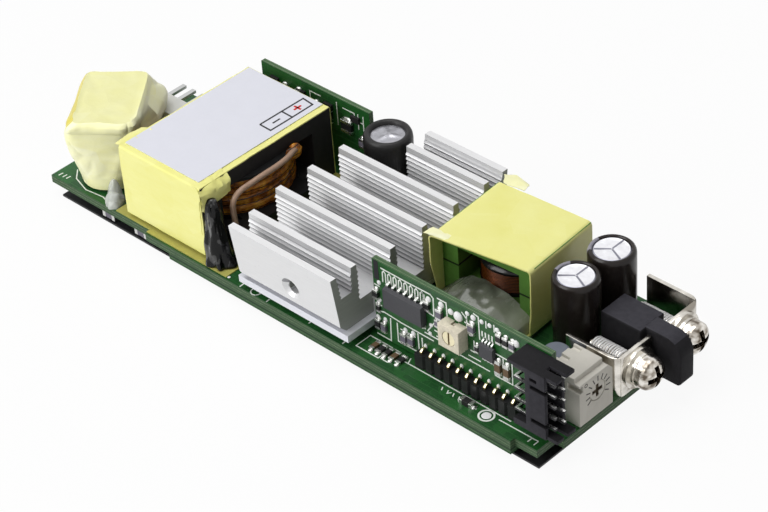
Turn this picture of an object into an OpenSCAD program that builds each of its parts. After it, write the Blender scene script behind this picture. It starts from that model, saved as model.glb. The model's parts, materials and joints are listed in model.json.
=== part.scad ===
// Open-frame plug-in power supply module: a long main board with an input choke,
// a tape-wrapped transformer, a finned heatsink, an output choke, capacitors, an
// upright control board, two adjusters and a pair of screw terminals.
// +X runs along the board to the output end, +Y across it, +Z up.

/* [Board stack] */
// Thickness of the main board
board_t = 1.6; // [1.2:0.1:2]
// Thickness of the lower board glued under the main board
lower_board_t = 1.2; // [0.8:0.1:1.6]
// Thickness of the black insulating film at the bottom
film_t = 0.4; // [0.2:0.1:0.6]
// Thickness of the adhesive pads between film and lower board
pad_t = 0.8; // [0.6:0.1:1.4]
// Thickness of each wrap of yellow tape
tape_t = 0.25; // [0.2:0.05:0.4]

/* [Input side] */
// Width of the input choke before its turn
choke_w = 12; // [10.6:0.2:13.2]
// Length of the input choke before its turn
choke_l = 16.4; // [14.4:0.2:18]
// Height of the input choke
choke_h = 15; // [13:0.2:16.6]
// Angle of the input choke on the board
choke_turn = 38; // [30:1:45]
// Length of the mains inlet body along the board
inlet_l = 11.4; // [10.4:0.2:12.4]
// Depth of the mains inlet body across the board
inlet_d = 4.6; // [3.8:0.2:5.4]
// Height of the mains inlet body
inlet_h = 8.2; // [7:0.2:9.4]

/* [Transformer] */
// Length of the taped transformer along the board
transformer_l = 20.9; // [19:0.1:23]
// Width of the taped transformer across the board
transformer_w = 32.3; // [30:0.1:35]
// Height of the taped transformer
transformer_h = 14.8; // [13.4:0.1:16.4]
// Thickness of the ferrite plates above and below the winding
core_plate = 3; // [2.6:0.1:3.4]
// Thickness of the ferrite legs at the near and far side
core_leg = 3.4; // [3:0.1:4]
// Diameter of the ferrite centre post
core_post_d = 9.4; // [8.4:0.1:10.4]

/* [Heatsink] */
// Length of the heatsink along the board
heatsink_l = 27.2; // [25:0.2:30]
// Height of the heatsink above its base plate
heatsink_h = 11.9; // [10.5:0.1:13.5]
// Distance between the middle fins
fin_pitch = 7.75; // [7:0.05:8.5]
// Distance from each outer fin to its neighbour
outer_pitch = 4.8; // [4.4:0.1:5.4]
// Thickness of a fin
fin_t = 1.3; // [1.1:0.1:1.7]
// Thickness of the plate under the heatsink
plate_t = 1.4; // [1:0.1:1.8]
// Height of the power devices under the plate
device_h = 1.5; // [1.2:0.1:2]
// Diameter of the tapped hole in the front fin
tap_d = 2.5; // [2:0.1:3]

/* [Capacitors] */
// Diameter of the bulk capacitor
bulk_d = 9; // [8:0.1:10]
// Height of the bulk capacitor
bulk_h = 15; // [13:0.2:17]
// Diameter of each output capacitor
out_cap_d = 8.3; // [7.5:0.1:9.1]
// Height of each output capacitor
out_cap_h = 14.5; // [12.5:0.1:16.5]
// Diameter of the small capacitor
small_cap_d = 4.7; // [4:0.1:5.4]
// Height of the small capacitor
small_cap_h = 7.3; // [5.8:0.1:8.6]

/* [Output choke] */
// Length of the output choke along the board
out_choke_l = 20.2; // [18:0.2:22]
// Width of the output choke across the board
out_choke_w = 17.4; // [16:0.2:19]
// Height of the output choke
out_choke_h = 13.9; // [12.5:0.1:15.3]
// Thickness of its core plates
out_plate = 2.9; // [2.4:0.1:3.4]
// Thickness of its core legs
out_leg = 3.2; // [2.8:0.1:3.6]

/* [Control board] */
// Thickness of the upright control board
control_t = 1.1; // [0.8:0.1:1.4]
// Number of pins that join the control board to the main board
header_count = 11; // [8:1:12]
// Distance between those pins
header_pitch = 2; // [1.8:0.05:2.1]
// Rows of contacts in the signal connector
connector_rows = 5; // [4:1:6]
// Distance between those rows
connector_pitch = 2.2; // [2:0.05:2.4]
// Width of the signal connector across the board
connector_w = 4.8; // [4.4:0.1:5.4]
// Wall of the signal connector
connector_wall = 0.7; // [0.5:0.05:0.9]

/* [Adjusters] */
// Width of the output adjuster
trim_w = 8.2; // [7.4:0.1:9]
// Depth of the output adjuster
trim_d = 5.6; // [5:0.1:6.2]
// Height of the output adjuster
trim_h = 8.6; // [7.6:0.1:9.6]
// Diameter of the output adjuster's dial
dial_d = 3.6; // [3:0.1:4.2]
// Side of the square control-board adjuster
small_trim = 4.5; // [4:0.1:5]
// Diameter of the control-board adjuster's rotor
small_dial_d = 2.6; // [2.2:0.1:3]

/* [Terminals] */
// Width of each terminal plate
bracket_w = 9; // [8:0.1:10]
// Height of each terminal bracket
bracket_h = 7.6; // [7:0.1:9]
// Sheet thickness of the terminal brackets
bracket_t = 0.8; // [0.6:0.05:1]
// Length of the leg that runs back along the board
bracket_leg = 11; // [10:0.2:12]
// Diameter of the terminal screw shank
screw_d = 2.9; // [2.5:0.1:3.3]
// Diameter of the terminal screw head
screw_head_d = 5.9; // [5.2:0.1:6.6]
// Length of the barrier block behind the terminals
barrier_l = 8.4; // [7.6:0.1:9.4]
// Width of the barrier block
barrier_w = 6.2; // [5.4:0.1:7]
// Height of the barrier
barrier_h = 8.9; // [8:0.1:9.8]
// Reach of the barrier tongue past its block
tongue_l = 7.2; // [6:0.1:8]
// Thickness of the barrier tongue
tongue_t = 3.5; // [2.8:0.1:3.8]

/* [Auxiliary board] */
// Length of the upright auxiliary board
aux_l = 27.5; // [24:0.5:30]
// Height of the upright auxiliary board
aux_h = 15.6; // [13:0.2:17]
// Thickness of the upright auxiliary board
aux_t = 1; // [0.8:0.1:1.4]

/* [Hidden] */
$fn = 48;

// Clearances: fit for pieces that slip over each other, play for parts that turn
fit = 0.05;
play = 0.1;
over = 0.5;

// Height of the main board's top face above the bottom of the film
board_top = film_t + pad_t + lower_board_t + board_t;

// Input choke: a taped oval block that leans out a little towards its top
choke_over = 2;
choke_near = 0.1;
choke_stand = 0.7;
choke_pin = 1.2;
choke_bulge_w = 1.3;
choke_bulge_l = 1.2;
choke_foot_scale = 0.86;
choke_edge = 0.9;
choke_edge_scale = 0.95;
choke_reach_x = choke_w / 2 * cos(choke_turn) + choke_l / 2 * sin(choke_turn);
choke_reach_y = choke_w / 2 * sin(choke_turn) + choke_l / 2 * cos(choke_turn);
choke_cx = choke_reach_x - choke_over;
choke_cy = choke_reach_y + choke_near;
choke_tape_t = 3 * tape_t;

// Mains inlet: behind the choke, with its contacts facing the far side
inlet_x0 = 1.2;
inlet_gap = 0.3;
inlet_y0 = choke_cy + choke_reach_y + inlet_gap;
inlet_y1 = inlet_y0 + inlet_d;
inlet_count = 3;
inlet_pitch = 2.6;
inlet_pin_w = 0.9;
inlet_pin_t = 0.6;
inlet_pin_l = 4.6;
inlet_pocket = 1.2;
inlet_pin_drop = 1.1;
inlet_pin_z = inlet_h - inlet_pin_drop;
inlet_end = 1.1;

// Transformer: two ferrite halves round a wound bobbin, in a loop of tape
tr_gap = 3.25;
tr_x0 = choke_cx + choke_reach_x + tr_gap;
tr_x1 = tr_x0 + transformer_l;
tr_y0 = 1.45;
tr_y1 = tr_y0 + transformer_w;
tr_z0 = 0.8;
tr_z1 = tr_z0 + transformer_h;
tr_cx = (tr_x0 + tr_x1) / 2;
tr_cy = (tr_y0 + tr_y1) / 2;
tr_zm = (tr_z0 + tr_z1) / 2;
sheet_t = 0.2;
sheet_in = 2.9;
sheet_out = 5.9;
sheet_near = 0.35;
sheet_edge = 0.1;
sheet_far = 0.8;
core_half = (transformer_h - 2 * tape_t) / 2;
window_half = core_half - core_plate;
wind_gap = 0.3;
wind_r = transformer_w / 2 - tape_t - core_leg - wind_gap;
wind_room = 0.25;
core_lip = 2;
core_mouth = 2 * wind_r - core_lip;
flange_t = 0.6;
bobbin_wall = 0.8;
bobbin_r = core_post_d / 2 + play + bobbin_wall;
rail_gap = 0.5;
rail_w = 3.1;
rail_half = 11;
rail_tab = 7.5;
rail_top = tr_zm - window_half + flange_t;
layer_count = 4;
layer_step = 0.22;
label_t = 0.12;
label_in = 0.5;
label_edge = 1.4;
tape_corner = 0.9;

// Heatsink: comb-like extrusion along X with ribbed fins
hs_gap = 9.3;
hs_x0 = tr_x1 + hs_gap;
hs_x1 = hs_x0 + heatsink_l;
hs_cy = tr_cy + 1.6;
hs_z0 = device_h + plate_t;
hs_z1 = hs_z0 + heatsink_h;
hs_foot = 1.3;
floor_mid = 3.1;
floor_inner = 4.4;
floor_outer = 7;
rib_p = 0.95;
rib_d = 0.3;
rib_land = 0.35;
fin_lean = 0.13;
fin_offsets = [-2 * fin_pitch, -fin_pitch, 0, fin_pitch, 2 * fin_pitch];
outer_off = 2 * fin_pitch + outer_pitch;
near_cut_in = 1.4;
near_cut_out = 1.6;
corner_cut = 1.5;
plate_in = 0.6;
plate_side = 1;
tap_deep = 4;
tap_mouth = 0.8;
tap_along = 14.6;
tap_up = 4.2;
tap_x = hs_x0 + tap_along;
tap_z = hs_z0 + tap_up;
device_l = 9;
device_w = 7;

// Bulk capacitor, cut into the heatsink's far corner
bulk_gap = 8.3;
bulk_side = 6.4;
bulk_cx = tr_x1 + bulk_gap + bulk_d / 2;
bulk_room = 1;
sleeve_t = 0.3;
rim_w = 0.9;
rim_t = 0.35;
score_w = 0.25;
score_d = 0.12;
can_gap = 0.2;

// Control board, its connector and the boards' width
control_y0 = 5.73;
control_y1 = control_y0 + control_t;
control_z0 = 0.3;
conn_y1 = control_y0;
conn_y0 = conn_y1 - connector_w;
conn_up = 3.35;
conn_play = 0.4;
conn_h = 2 * connector_wall + connector_rows * connector_pitch + conn_play;
conn_deep = 6.2;
conn_ear = 3.6;
conn_low_ear = 2.65;
conn_low_h = 1.3;
conn_back = 1;
conn_short = 2.1;
conn_slot = 0.9;
conn_slot_l = 3.4;
conn_slit_in = 0.9;
conn_slit_h = 0.8;
conn_slits = [0.18, 0.71];
conn_window_w = 1.9;
conn_window_h = 0.6;
conn_window_in = 0.5;
conn_window_up = 0.835;
conn_trim = 0.3;
conn_pin = 0.5;
conn_tip = 2.2;
conn_lead_l = 3.3;
conn_lead_short = 1.3;
side_gap = 0.4;

// Output adjuster and terminals, stacked across the output end
trim_room = 2.67;
trim_y0 = control_y1 + trim_room;
trim_y1 = trim_y0 + trim_w;
near_y0 = trim_y1 + side_gap;
near_y1 = near_y0 + bracket_w;
tongue_room = 0.2;
term_cy = near_y1 + tongue_room + tongue_t / 2;
far_y1 = 2 * term_cy - near_y0;
aux_gap = 2.6;
aux_y0 = tr_y1 + aux_gap;
aux_room = 1.2;
aux_x1 = tr_x1 + bulk_gap - aux_room;
aux_x0 = aux_x1 - aux_l;
aux_side = 4.15;
term_side = 1.5;
board_w = max(aux_y0 + aux_t + aux_side, far_y1 + term_side);
bulk_cy = board_w - bulk_side;

// Output choke: a smaller wound core beside the heatsink, set a little askew
oc_turn = 3.5;
oc_lip = 1.9;
oc_gap = 0.6;
oc_side = 12.8;
oc_reach = out_choke_l / 2 * cos(oc_turn) + out_choke_w / 2 * sin(oc_turn);
oc_cx = hs_x1 + oc_gap + oc_reach;
oc_cy = board_w - oc_side;
oc_deep = out_choke_w - oc_lip;
oc_z0 = 0.6;
oc_z1 = oc_z0 + out_choke_h;
oc_zm = (oc_z0 + oc_z1) / 2;
oc_half = (out_choke_h - 2 * tape_t) / 2;
oc_window = oc_half - out_plate;
oc_wind_gap = 0.25;
oc_wind_r = out_choke_l / 2 - tape_t - out_leg - oc_wind_gap;
oc_wind_deep = 2.6;
oc_post_r = oc_wind_r - oc_wind_deep;
oc_core_gap = 0.2;
oc_mouth = 2 * oc_wind_r + oc_core_gap;
oc_tube = 0.7;
oc_flange = 0.6;
oc_turns = 11;
oc_turn_step = 0.2;
oc_turn_room = 0.15;
oc_foot = 1.8;

// Output capacitors, barrier and the overall length that follows from them
cap_gap = 1.85;
cap_space = 0.8;
cap_shift = 0.95;
cap_x = oc_cx + oc_reach + cap_gap + out_cap_d / 2;
cap_pitch = out_cap_d + cap_space;
cap_ys = [term_cy + cap_shift - cap_pitch / 2, term_cy + cap_shift + cap_pitch / 2];
barrier_gap = 0.45;
plate_gap = 0.7;
bar_x0 = cap_x + out_cap_d / 2 + barrier_gap;
bar_x1 = bar_x0 + barrier_l;
plate_x0 = bar_x1 + plate_gap;
plate_x1 = plate_x0 + bracket_t;
plate_over = 0.4;
board_l = plate_x1 - plate_over;
tongue_round = 4;
bend_r = 2.2;
washer_t = 0.6;
washer_d = 7.4;
spring_t = 0.9;
spring_d = 6.2;
spring_split = 0.4;
head_h = 3;
head_side = 1.2;
recess_w = 1;
recess_l = 4.2;
recess_d = 1.5;
screw_z = 4.1;
shank_l = 8.2;
screw_in = 0.7;
screw_ys = [near_y0 + bracket_w / 2 + screw_in, far_y1 - bracket_w / 2 - screw_in];

// Main board outline: recessed near ends, a stepped corner and a cut-away corner
edge_recess = 1.05;
recess_in_x = 27;
recess_out = 6.5;
end_step = 1.8;
end_step_y = 5.5;
far_cut_x = 18;
far_cut_y = 5.9;
lower_in = 33;
lower_far = 3;
film_in = 2.2;
film_out = 1.7;
film_near = 1.3;
film_far = 2.5;
pad_l = 10;
pad_side = 4;
pad_count = 3;

// Signal connector and control board along X
conn_out = 2.4;
control_gap = 0.75;
control_short = 2.33;
control_over = 0.3;
conn_x1 = board_l + conn_out;
conn_x0 = conn_x1 - conn_deep;
ear_x0 = conn_x0 - conn_ear;
control_x0 = hs_x1 + control_gap;
control_x1 = board_l - control_short;
control_z1 = conn_up + conn_h + control_over;
header_d = 1.75;
header_h = 2.8;
header_in = 8.85;
header_x1 = board_l - header_in;
header_end = 0.1;
header_x0 = header_x1 - header_count * header_pitch - header_end;
header_first = header_x0 + header_end;
header_notch = 0.5;
pin_out = 1.4;
pin_bend = 0.2;
pin_corner = 0.5;
header_pin = 0.5;
header_rise = 0.95;
ic_stand = 0.12;
ic_deep = 1.45;
ic_draft = 0.22;
ic_l = 8.5;
ic_w = 4.3;
ic_in = 3.45;
ic_drop = 5.85;
ic_x0 = control_x0 + ic_in;
ic_zc = control_z1 - ic_drop;
ic_count = 7;
ic_pitch = 1.27;
ic_lead_w = 0.45;
small_ic_l = 2.9;
small_ic_w = 2.9;
small_ic_deep = 0.95;
small_ic_in = 24.15;
small_ic_drop = 6.3;
small_ic_x0 = control_x0 + small_ic_in;
small_ic_zc = control_z1 - small_ic_drop;
small_ic_count = 4;
small_ic_pitch = 0.65;
small_ic_lead_w = 0.3;
lead_t = 0.16;
lead_step = 0.42;
lead_slope = 0.18;
lead_foot = 0.95;
chip_w = 1.2;
chip_h = 2;
chip_t = 0.6;
low_chips = [2.2, 4.1, 6.7, 8.4];
low_chip_drop = 12.9;
top_chips = [12.8, 15.3, 22.5];
top_chip_drop = 3;
end_chip_in = 28;
end_chip_step = 1.4;
end_chip_count = 3;
end_chip_drop = 2.4;
pair_in = 27.4;
pair_step = 1.6;
pair_drop = 8.7;
edge_chip_in = 0.9;
edge_chip_drop = 6.9;
small_trim_d = 2.2;
small_trim_in = 16.45;
small_trim_drop = 8.3;
small_trim_x0 = control_x0 + small_trim_in;
small_trim_z0 = control_z1 - small_trim_drop;
small_trim_cx = small_trim_x0 + small_trim / 2;
small_trim_cz = small_trim_z0 + small_trim / 2;
rotor_t = 0.8;
rotor_set = 0.1;
slot_w = 0.4;
mark_w = 0.8;
mark_d = 0.35;
slot_d = 0.35;
shaft_r = 0.7;
shaft_l = 1;
wiper_wall = 0.4;
wiper_d = small_trim - 2 * wiper_wall;
wiper_t = 0.7;

// Output adjuster
trim_x1 = board_l;
trim_x0 = trim_x1 - trim_d;
trim_chamfer = 1.2;
trim_ridge = 1;
trim_ridge_back = 1.1;
trim_notch_in = 1.7;
trim_notch = [2.6, 0.9, 1.2];
trim_pocket = [0.7, 1.1, 0.6];
trim_pockets = [2.6, 5.5];
dial_shift = 0.4;
dial_y = trim_y0 + trim_w / 2 + dial_shift;
dial_z = 5;
dial_t = 0.9;
dial_set = 0.15;
dial_slot_w = 0.75;
dial_slot_l = 2.5;
dial_slot_d = 0.5;

// Small capacitor beside the adjuster
small_cap_gap = 1.95;
small_cap_edge = 0.4;
small_cx = trim_x0 - small_cap_gap - small_cap_d / 2;
small_cy = trim_y1 - small_cap_d / 2;

// Fly lead: it leaves the winding, bows out past the bobbin's flange and drops to its rail.
// Each point gives the least reach past the core, the place across and the height above the window
lead_r = 0.65;
lead_sides = 8;
lead_gap = 0.3;
lead_shape = [[0, 7.4, 0.05], [0.75, 5.4, 0.55], [1.55, 2.4, 0.65], [1.85, -0.6, 0.55], [1.75, -3.6, 0.45],
  [1.55, -6.6, 0.15], [1.35, -8.6, -0.15], [1.25, -9.8, -0.75], [1.25, -10.6, -1.75],
  [1.15, -10.7, -3.35], [1.15, -10.6, -5.35]];
lead_end_in = 0.6;
function flange_out(y) = sqrt(max(0, wind_r * wind_r - y * y)) - transformer_l / 2;
function lead_x(least, y) = tr_x1 + lead_r + lead_gap + max(flange_out(y), least);
lead_route = concat(
  [for (p = lead_shape) [lead_x(p[0], p[1]), tr_cy + p[1], tr_zm + window_half + p[2]]],
  [[tr_x1 + rail_gap + rail_w / 2, tr_cy - rail_half + lead_end_in, rail_top]]);

// Sealant: a lump by the input choke, a column at the transformer and a mass by the output choke
lump_gap = 1.9;
lump_in = 1.3;
lump_r = 1.7;
lump_h = 3.2;
column_gap = 2.5;
column_in = 1.5;
column_h = 11.8;
column_foot = 2;
column_top = 1.2;
mass_gap = 0.2;
mass_share = 0.62;
mass_h = 8.3;

// Places pieces measured from the near left corner of the main board's top face
module on_board() translate([-board_l / 2, -board_w / 2, board_top]) children();

// Block between two corners
module block(a, b) translate(a) cube(b - a);

// Profile in Y and Z, run along X
module along_x(x0, x1) translate([x0, 0, 0]) rotate([90, 0, 90]) linear_extrude(x1 - x0) children();

// Profile in X and Z, run along Y
module along_y(y0, y1) translate([0, y1, 0]) rotate([90, 0, 0]) linear_extrude(y1 - y0) children();

// Rectangle with round corners
module soft_rect(w, h, r) {
  translate([r, 0]) square([w - 2 * r, h]);
  translate([0, r]) square([w, h - 2 * r]);
  for (x = [r, w - r], y = [r, h - r]) translate([x, y]) circle(r, $fn = 32);
}

// Loop of tape round a rectangle, as a flat profile
module tape_loop(w, h) difference() {
  soft_rect(w, h, tape_corner);
  translate([tape_t, tape_t]) square([w - 2 * tape_t, h - 2 * tape_t]);
}

// Lump of set sealant with an elliptical profile
module lump(r, h) rotate_extrude($fn = 32)
  polygon(concat([[0, 0]], [for (a = [0:15:90]) [r * cos(a), h * sin(a)]]));

// Half of a wound core: a plate with two hollowed legs and a centre post, open side up
module half_core(l, w, plate, mouth, half, post_r, wind) {
  difference() {
    translate([-l / 2, -w / 2, 0]) cube([l, w, half]);
    translate([0, 0, plate]) cylinder(r = wind, h = half);
    translate([-l / 2 - over, -mouth / 2, plate]) cube([l + 2 * over, mouth, half]);
  }
  cylinder(r = post_r, h = half);
}

// Bobbin tube with two flanges, resting on the lower core plate
module spool(tube_r, wall, flange_r, flange, h) difference() {
  union() {
    cylinder(r = tube_r, h = h);
    cylinder(r = flange_r, h = flange);
    translate([0, 0, h - flange]) cylinder(r = flange_r, h = flange);
  }
  translate([0, 0, -over]) cylinder(r = tube_r - wall, h = h + 2 * over);
}

// Stepped outline of a winding, with a groove between layers
module coil(inner, outer, h, turns, step) rotate_extrude($fn = 64)
  polygon(concat([[inner, 0]],
    [for (i = [0:turns - 1]) each [[outer - step, i * h / turns], [outer, (i + 0.3) * h / turns],
      [outer, (i + 0.7) * h / turns]]],
    [[outer - step, h], [inner, h]]));

// Capacitor can with three score lines in its top
module can(r, h) difference() {
  cylinder(r = r, h = h);
  for (a = [90, 210, 330]) rotate(a) translate([0, -score_w / 2, h - score_d])
    cube([r - rim_w, score_w, 2 * score_d]);
}

// Shrink sleeve round a can, turned in over its top rim
module sleeve(r, h) rotate_extrude($fn = 64)
  polygon([[r - sleeve_t, 0], [r, 0], [r, h - 2 * rim_t], [r - rim_t, h], [r - rim_w, h],
    [r - rim_w, h - rim_t], [r - sleeve_t, h - rim_t]]);

// Moulded chip package on the control board's front, drafted from a mid line
module chip_package(x0, x1, zc, w, deep) along_x(x0, x1) translate([control_y0, zc])
  polygon([[-ic_stand, ic_draft - w / 2], [-deep / 2, -w / 2], [-deep, ic_draft - w / 2],
    [-deep, w / 2 - ic_draft], [-deep / 2, w / 2], [-ic_stand, w / 2 - ic_draft]]);

// Row of gull-wing leads on both long sides of a chip package
module gull_leads(x_first, pitch, count, w, zc, body_w, mid) for (i = [0:count - 1], s = [-1, 1])
  translate([0, 0, zc]) mirror([0, 0, s < 0 ? 1 : 0])
    along_x(x_first + i * pitch - w / 2, x_first + i * pitch + w / 2) translate([control_y0, body_w / 2])
      polygon([[-mid - lead_t / 2, 0], [-mid - lead_t / 2, lead_step], [-lead_t, lead_step + lead_slope],
        [-lead_t, lead_foot], [0, lead_foot], [0, lead_step], [-mid + lead_t / 2, lead_step - lead_t],
        [-mid + lead_t / 2, 0]]);

// Chip part soldered upright on the control board's front
module front_chip(x, z) block([x - chip_w / 2, control_y0 - chip_t, z - chip_h / 2],
  [x + chip_w / 2, control_y0, z + chip_h / 2]);

// Ribbed fin: small saw-tooth ribs up both sides, from height z0 to z1
module fin(yc, z0, z1) {
  n = floor((z1 - z0 - rib_land) / rib_p);
  side = [for (i = [0:n - 1])
    each [[fin_t / 2, z0 + i * rib_p], [fin_t / 2 + rib_d, z0 + (i + 0.5) * rib_p]]];
  edge = concat(side, [[fin_t / 2, z0 + n * rib_p], [fin_t / 2, z1]]);
  back = [for (i = [len(edge) - 1:-1:0]) [-edge[i][0], edge[i][1]]];
  translate([yc, 0]) polygon(concat(edge, back));
}

// Outer fin: plain leaning outer face, ribbed inner face, at the near side
module outer_fin(z0, z1) {
  n = floor((z1 - z0 - rib_land) / rib_p);
  inner = [for (i = [0:n - 1])
    each [[fin_t / 2, z0 + i * rib_p], [fin_t / 2 + rib_d, z0 + (i + 0.5) * rib_p]]];
  edge = concat([[-fin_t / 2, z1], [-fin_t / 2, z0]], inner,
    [[fin_t / 2, z0 + n * rib_p], [fin_t / 2, z1]]);
  polygon([for (p = edge) [p[0] - outer_off - fin_lean * (p[1] - z1), p[1]]]);
}

// Cross-section of the heatsink about its middle plane, feet at zero
module heatsink_section() {
  foot = outer_off + fin_t / 2 - fin_lean * (heatsink_h - hs_foot);
  shoulder = outer_off + fin_t / 2 - fin_lean * (heatsink_h - floor_outer);
  polygon([[-foot + hs_foot, 0], [foot - hs_foot, 0], [foot, hs_foot], [shoulder, floor_outer],
    [2 * fin_pitch, floor_outer], [2 * fin_pitch, floor_inner], [fin_pitch, floor_inner],
    [fin_pitch, floor_mid], [-fin_pitch, floor_mid], [-fin_pitch, floor_inner],
    [-2 * fin_pitch, floor_inner], [-2 * fin_pitch, floor_outer], [-shoulder, floor_outer],
    [-foot, hs_foot]]);
  for (y = fin_offsets) fin(y, floor_mid - rib_p, heatsink_h);
  outer_fin(floor_outer - rib_p, heatsink_h);
  mirror([1, 0]) outer_fin(floor_outer - rib_p, heatsink_h);
}

// Oval outline of the input choke, grown by g
function choke_plan(g) = [
  [choke_w / 2 + g, -choke_l / 2 - g], [choke_w / 2 + choke_bulge_w + g, 0],
  [choke_w / 2 + g, choke_l / 2 + g], [0, choke_l / 2 + choke_bulge_l + g],
  [-choke_w / 2 - g, choke_l / 2 + g], [-choke_w / 2 - choke_bulge_w - g, 0],
  [-choke_w / 2 - g, -choke_l / 2 - g], [0, -choke_l / 2 - choke_bulge_l - g]];

// Solid of the choke: it widens upwards, then draws in over its top edge
module choke_form(g, h) {
  linear_extrude(h - choke_edge, scale = 1 / choke_foot_scale)
    scale(choke_foot_scale) polygon(choke_plan(g));
  translate([0, 0, h - choke_edge])
    linear_extrude(choke_edge, scale = choke_edge_scale) polygon(choke_plan(g));
}

// Vector helpers for the swept lead
function unit(v) = v / norm(v);
function heading(p, i) = unit(p[min(i + 1, len(p) - 1)] - p[max(i - 1, 0)]);
function ring(p, i, r, n) =
  let (t = i == len(p) - 1 ? [0, 0, -1] : heading(p, i), u = unit(cross(t, [1, 0, 0])), v = cross(t, u))
  [for (k = [0:n - 1]) p[i] + r * (cos(360 * k / n) * u + sin(360 * k / n) * v)];

// Round tube along a list of points
module tube_along(p, r, n) {
  last = len(p) - 1;
  points = [for (i = [0:last]) each ring(p, i, r, n)];
  sides = [for (i = [0:last - 1], k = [0:n - 1])
    [i * n + k, i * n + (k + 1) % n, (i + 1) * n + (k + 1) % n, (i + 1) * n + k]];
  start = [[for (k = [n - 1:-1:0]) k]];
  end = [[for (k = [0:n - 1]) last * n + k]];
  polyhedron(points, concat(sides, start, end));
}

// Black film that insulates the underside
module insulating_film() color([0.06, 0.06, 0.07]) on_board()
  translate([0, 0, -board_top]) linear_extrude(film_t)
    polygon([[film_in, film_near], [board_l - film_out, film_near],
      [board_l - film_out, board_w - film_far], [far_cut_x + film_in, board_w - film_far],
      [far_cut_x + film_in, board_w - far_cut_y - film_far], [film_in, board_w - far_cut_y - film_far]]);

// Adhesive pads that hold the film to the lower board
module film_pads() color([0.75, 0.74, 0.7]) on_board() {
  room = board_l - recess_out - lower_in;
  for (i = [0:pad_count - 1]) translate([lower_in + room * (i + 0.5) / pad_count - pad_l / 2, 0, 0])
    block([0, pad_side, film_t - board_top],
      [pad_l, board_w - lower_far - pad_side, film_t + pad_t - board_top]);
}

// Lower board, flush with the main board's near edge
module lower_board() color([0.1, 0.36, 0.18]) on_board()
  block([lower_in, 0, -board_t - lower_board_t], [board_l - recess_out, board_w - lower_far, -board_t]);

// Main board with its stepped outline
module main_board() color([0.08, 0.42, 0.18]) on_board() translate([0, 0, -board_t]) linear_extrude(board_t)
  polygon([[0, edge_recess], [recess_in_x, edge_recess], [recess_in_x, 0], [board_l - recess_out, 0],
    [board_l - recess_out, edge_recess], [board_l - end_step, edge_recess],
    [board_l - end_step, end_step_y], [board_l, end_step_y], [board_l, board_w], [far_cut_x, board_w],
    [far_cut_x, board_w - far_cut_y], [0, board_w - far_cut_y]]);

// Chip capacitors on the underside of the main board, at the input end
module under_chips() color([0.62, 0.5, 0.36]) on_board() {
  chip_l = 3.2;
  chip_d = 1.6;
  chip_in = 0.3;
  chip_clear = 0.4;
  chip_high = lower_board_t + pad_t - chip_clear;
  spots = [recess_in_x / 2, recess_in_x - chip_l - chip_d];
  for (x = spots) block([x, edge_recess + chip_in, -board_t - chip_high],
    [x + chip_l, edge_recess + chip_in + chip_d, -board_t]);
}

// Chip parts on the main board in front of the control board
module board_chips() color([0.2, 0.19, 0.18]) on_board() {
  chip_count = 5;
  chip_step = 1.5;
  chip_size = [0.9, 1.6, 0.5];
  chip_in = 1.3;
  chip_side = 2.5;
  diode_size = [2.6, 1.4, 1];
  diode_in = 12.4;
  diode_side = 1.6;
  for (i = [0:chip_count - 1]) translate([control_x0 + chip_in + i * chip_step, chip_side, 0])
    cube(chip_size);
  translate([header_x0 + diode_in, diode_side, 0]) cube(diode_size);
}

// Ferrite core and windings of the input choke, inside the tape
module input_choke_core() color([0.2, 0.17, 0.14]) on_board()
  translate([choke_cx, choke_cy, 0]) rotate(choke_turn) {
    translate([0, 0, choke_stand]) choke_form(-choke_tape_t, choke_h - choke_tape_t);
    for (x = [-1, 1], y = [-1, 1]) translate([x * choke_w / 4, y * choke_l / 4, 0])
      cylinder(d = choke_pin, h = choke_stand);
  }

// Yellow tape wrapped round and over the input choke
module input_choke_tape() color([0.93, 0.9, 0.5]) on_board()
  translate([choke_cx, choke_cy, choke_stand]) rotate(choke_turn) difference() {
    choke_form(0, choke_h);
    choke_form(-choke_tape_t, choke_h - choke_tape_t);
  }

// Sealant between the input choke's foot and the transformer
module choke_sealant() color([0.8, 0.8, 0.76]) on_board()
  translate([tr_x0 - sheet_in - lump_gap, tr_y0 + lump_in, 0]) lump(lump_r, lump_h);

// White body of the mains inlet, with a pocket round each contact
module inlet_body() color([0.92, 0.92, 0.9]) on_board() difference() {
  block([inlet_x0, inlet_y0, 0], [inlet_x0 + inlet_l, inlet_y1, inlet_h]);
  for (i = [0:inlet_count - 1])
    translate([inlet_x0 + inlet_l - inlet_end - i * inlet_pitch, inlet_y1, inlet_pin_z])
      cube([1.5 * inlet_pin_w, 2 * inlet_pocket, 2 * inlet_pin_t], center = true);
}

// Flat tinned contacts of the inlet
module inlet_pins() color([0.72, 0.72, 0.7]) on_board()
  for (i = [0:inlet_count - 1])
    translate([inlet_x0 + inlet_l - inlet_end - i * inlet_pitch, inlet_y1 - inlet_pocket, inlet_pin_z])
      translate([-inlet_pin_w / 2, 0, -inlet_pin_t / 2])
        cube([inlet_pin_w, inlet_pin_l + inlet_pocket, inlet_pin_t]);

// Thin insulating sheet under the transformer
module insulating_sheet() color([0.72, 0.7, 0.36]) on_board() linear_extrude(sheet_t)
  polygon([[tr_x0 - sheet_in, edge_recess + sheet_edge], [recess_in_x, edge_recess + sheet_edge],
    [recess_in_x, sheet_near], [tr_x1 + sheet_out, sheet_near], [tr_x1 + sheet_out, tr_y1 + sheet_far],
    [tr_x0 - sheet_in, tr_y1 + sheet_far]]);

// Lower ferrite half of the transformer
module transformer_core_lower() color([0.1, 0.1, 0.11]) on_board() translate([tr_cx, tr_cy, tr_z0 + tape_t])
  half_core(transformer_l, transformer_w - 2 * tape_t, core_plate, core_mouth, core_half,
    core_post_d / 2, wind_r + wind_gap);

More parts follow.
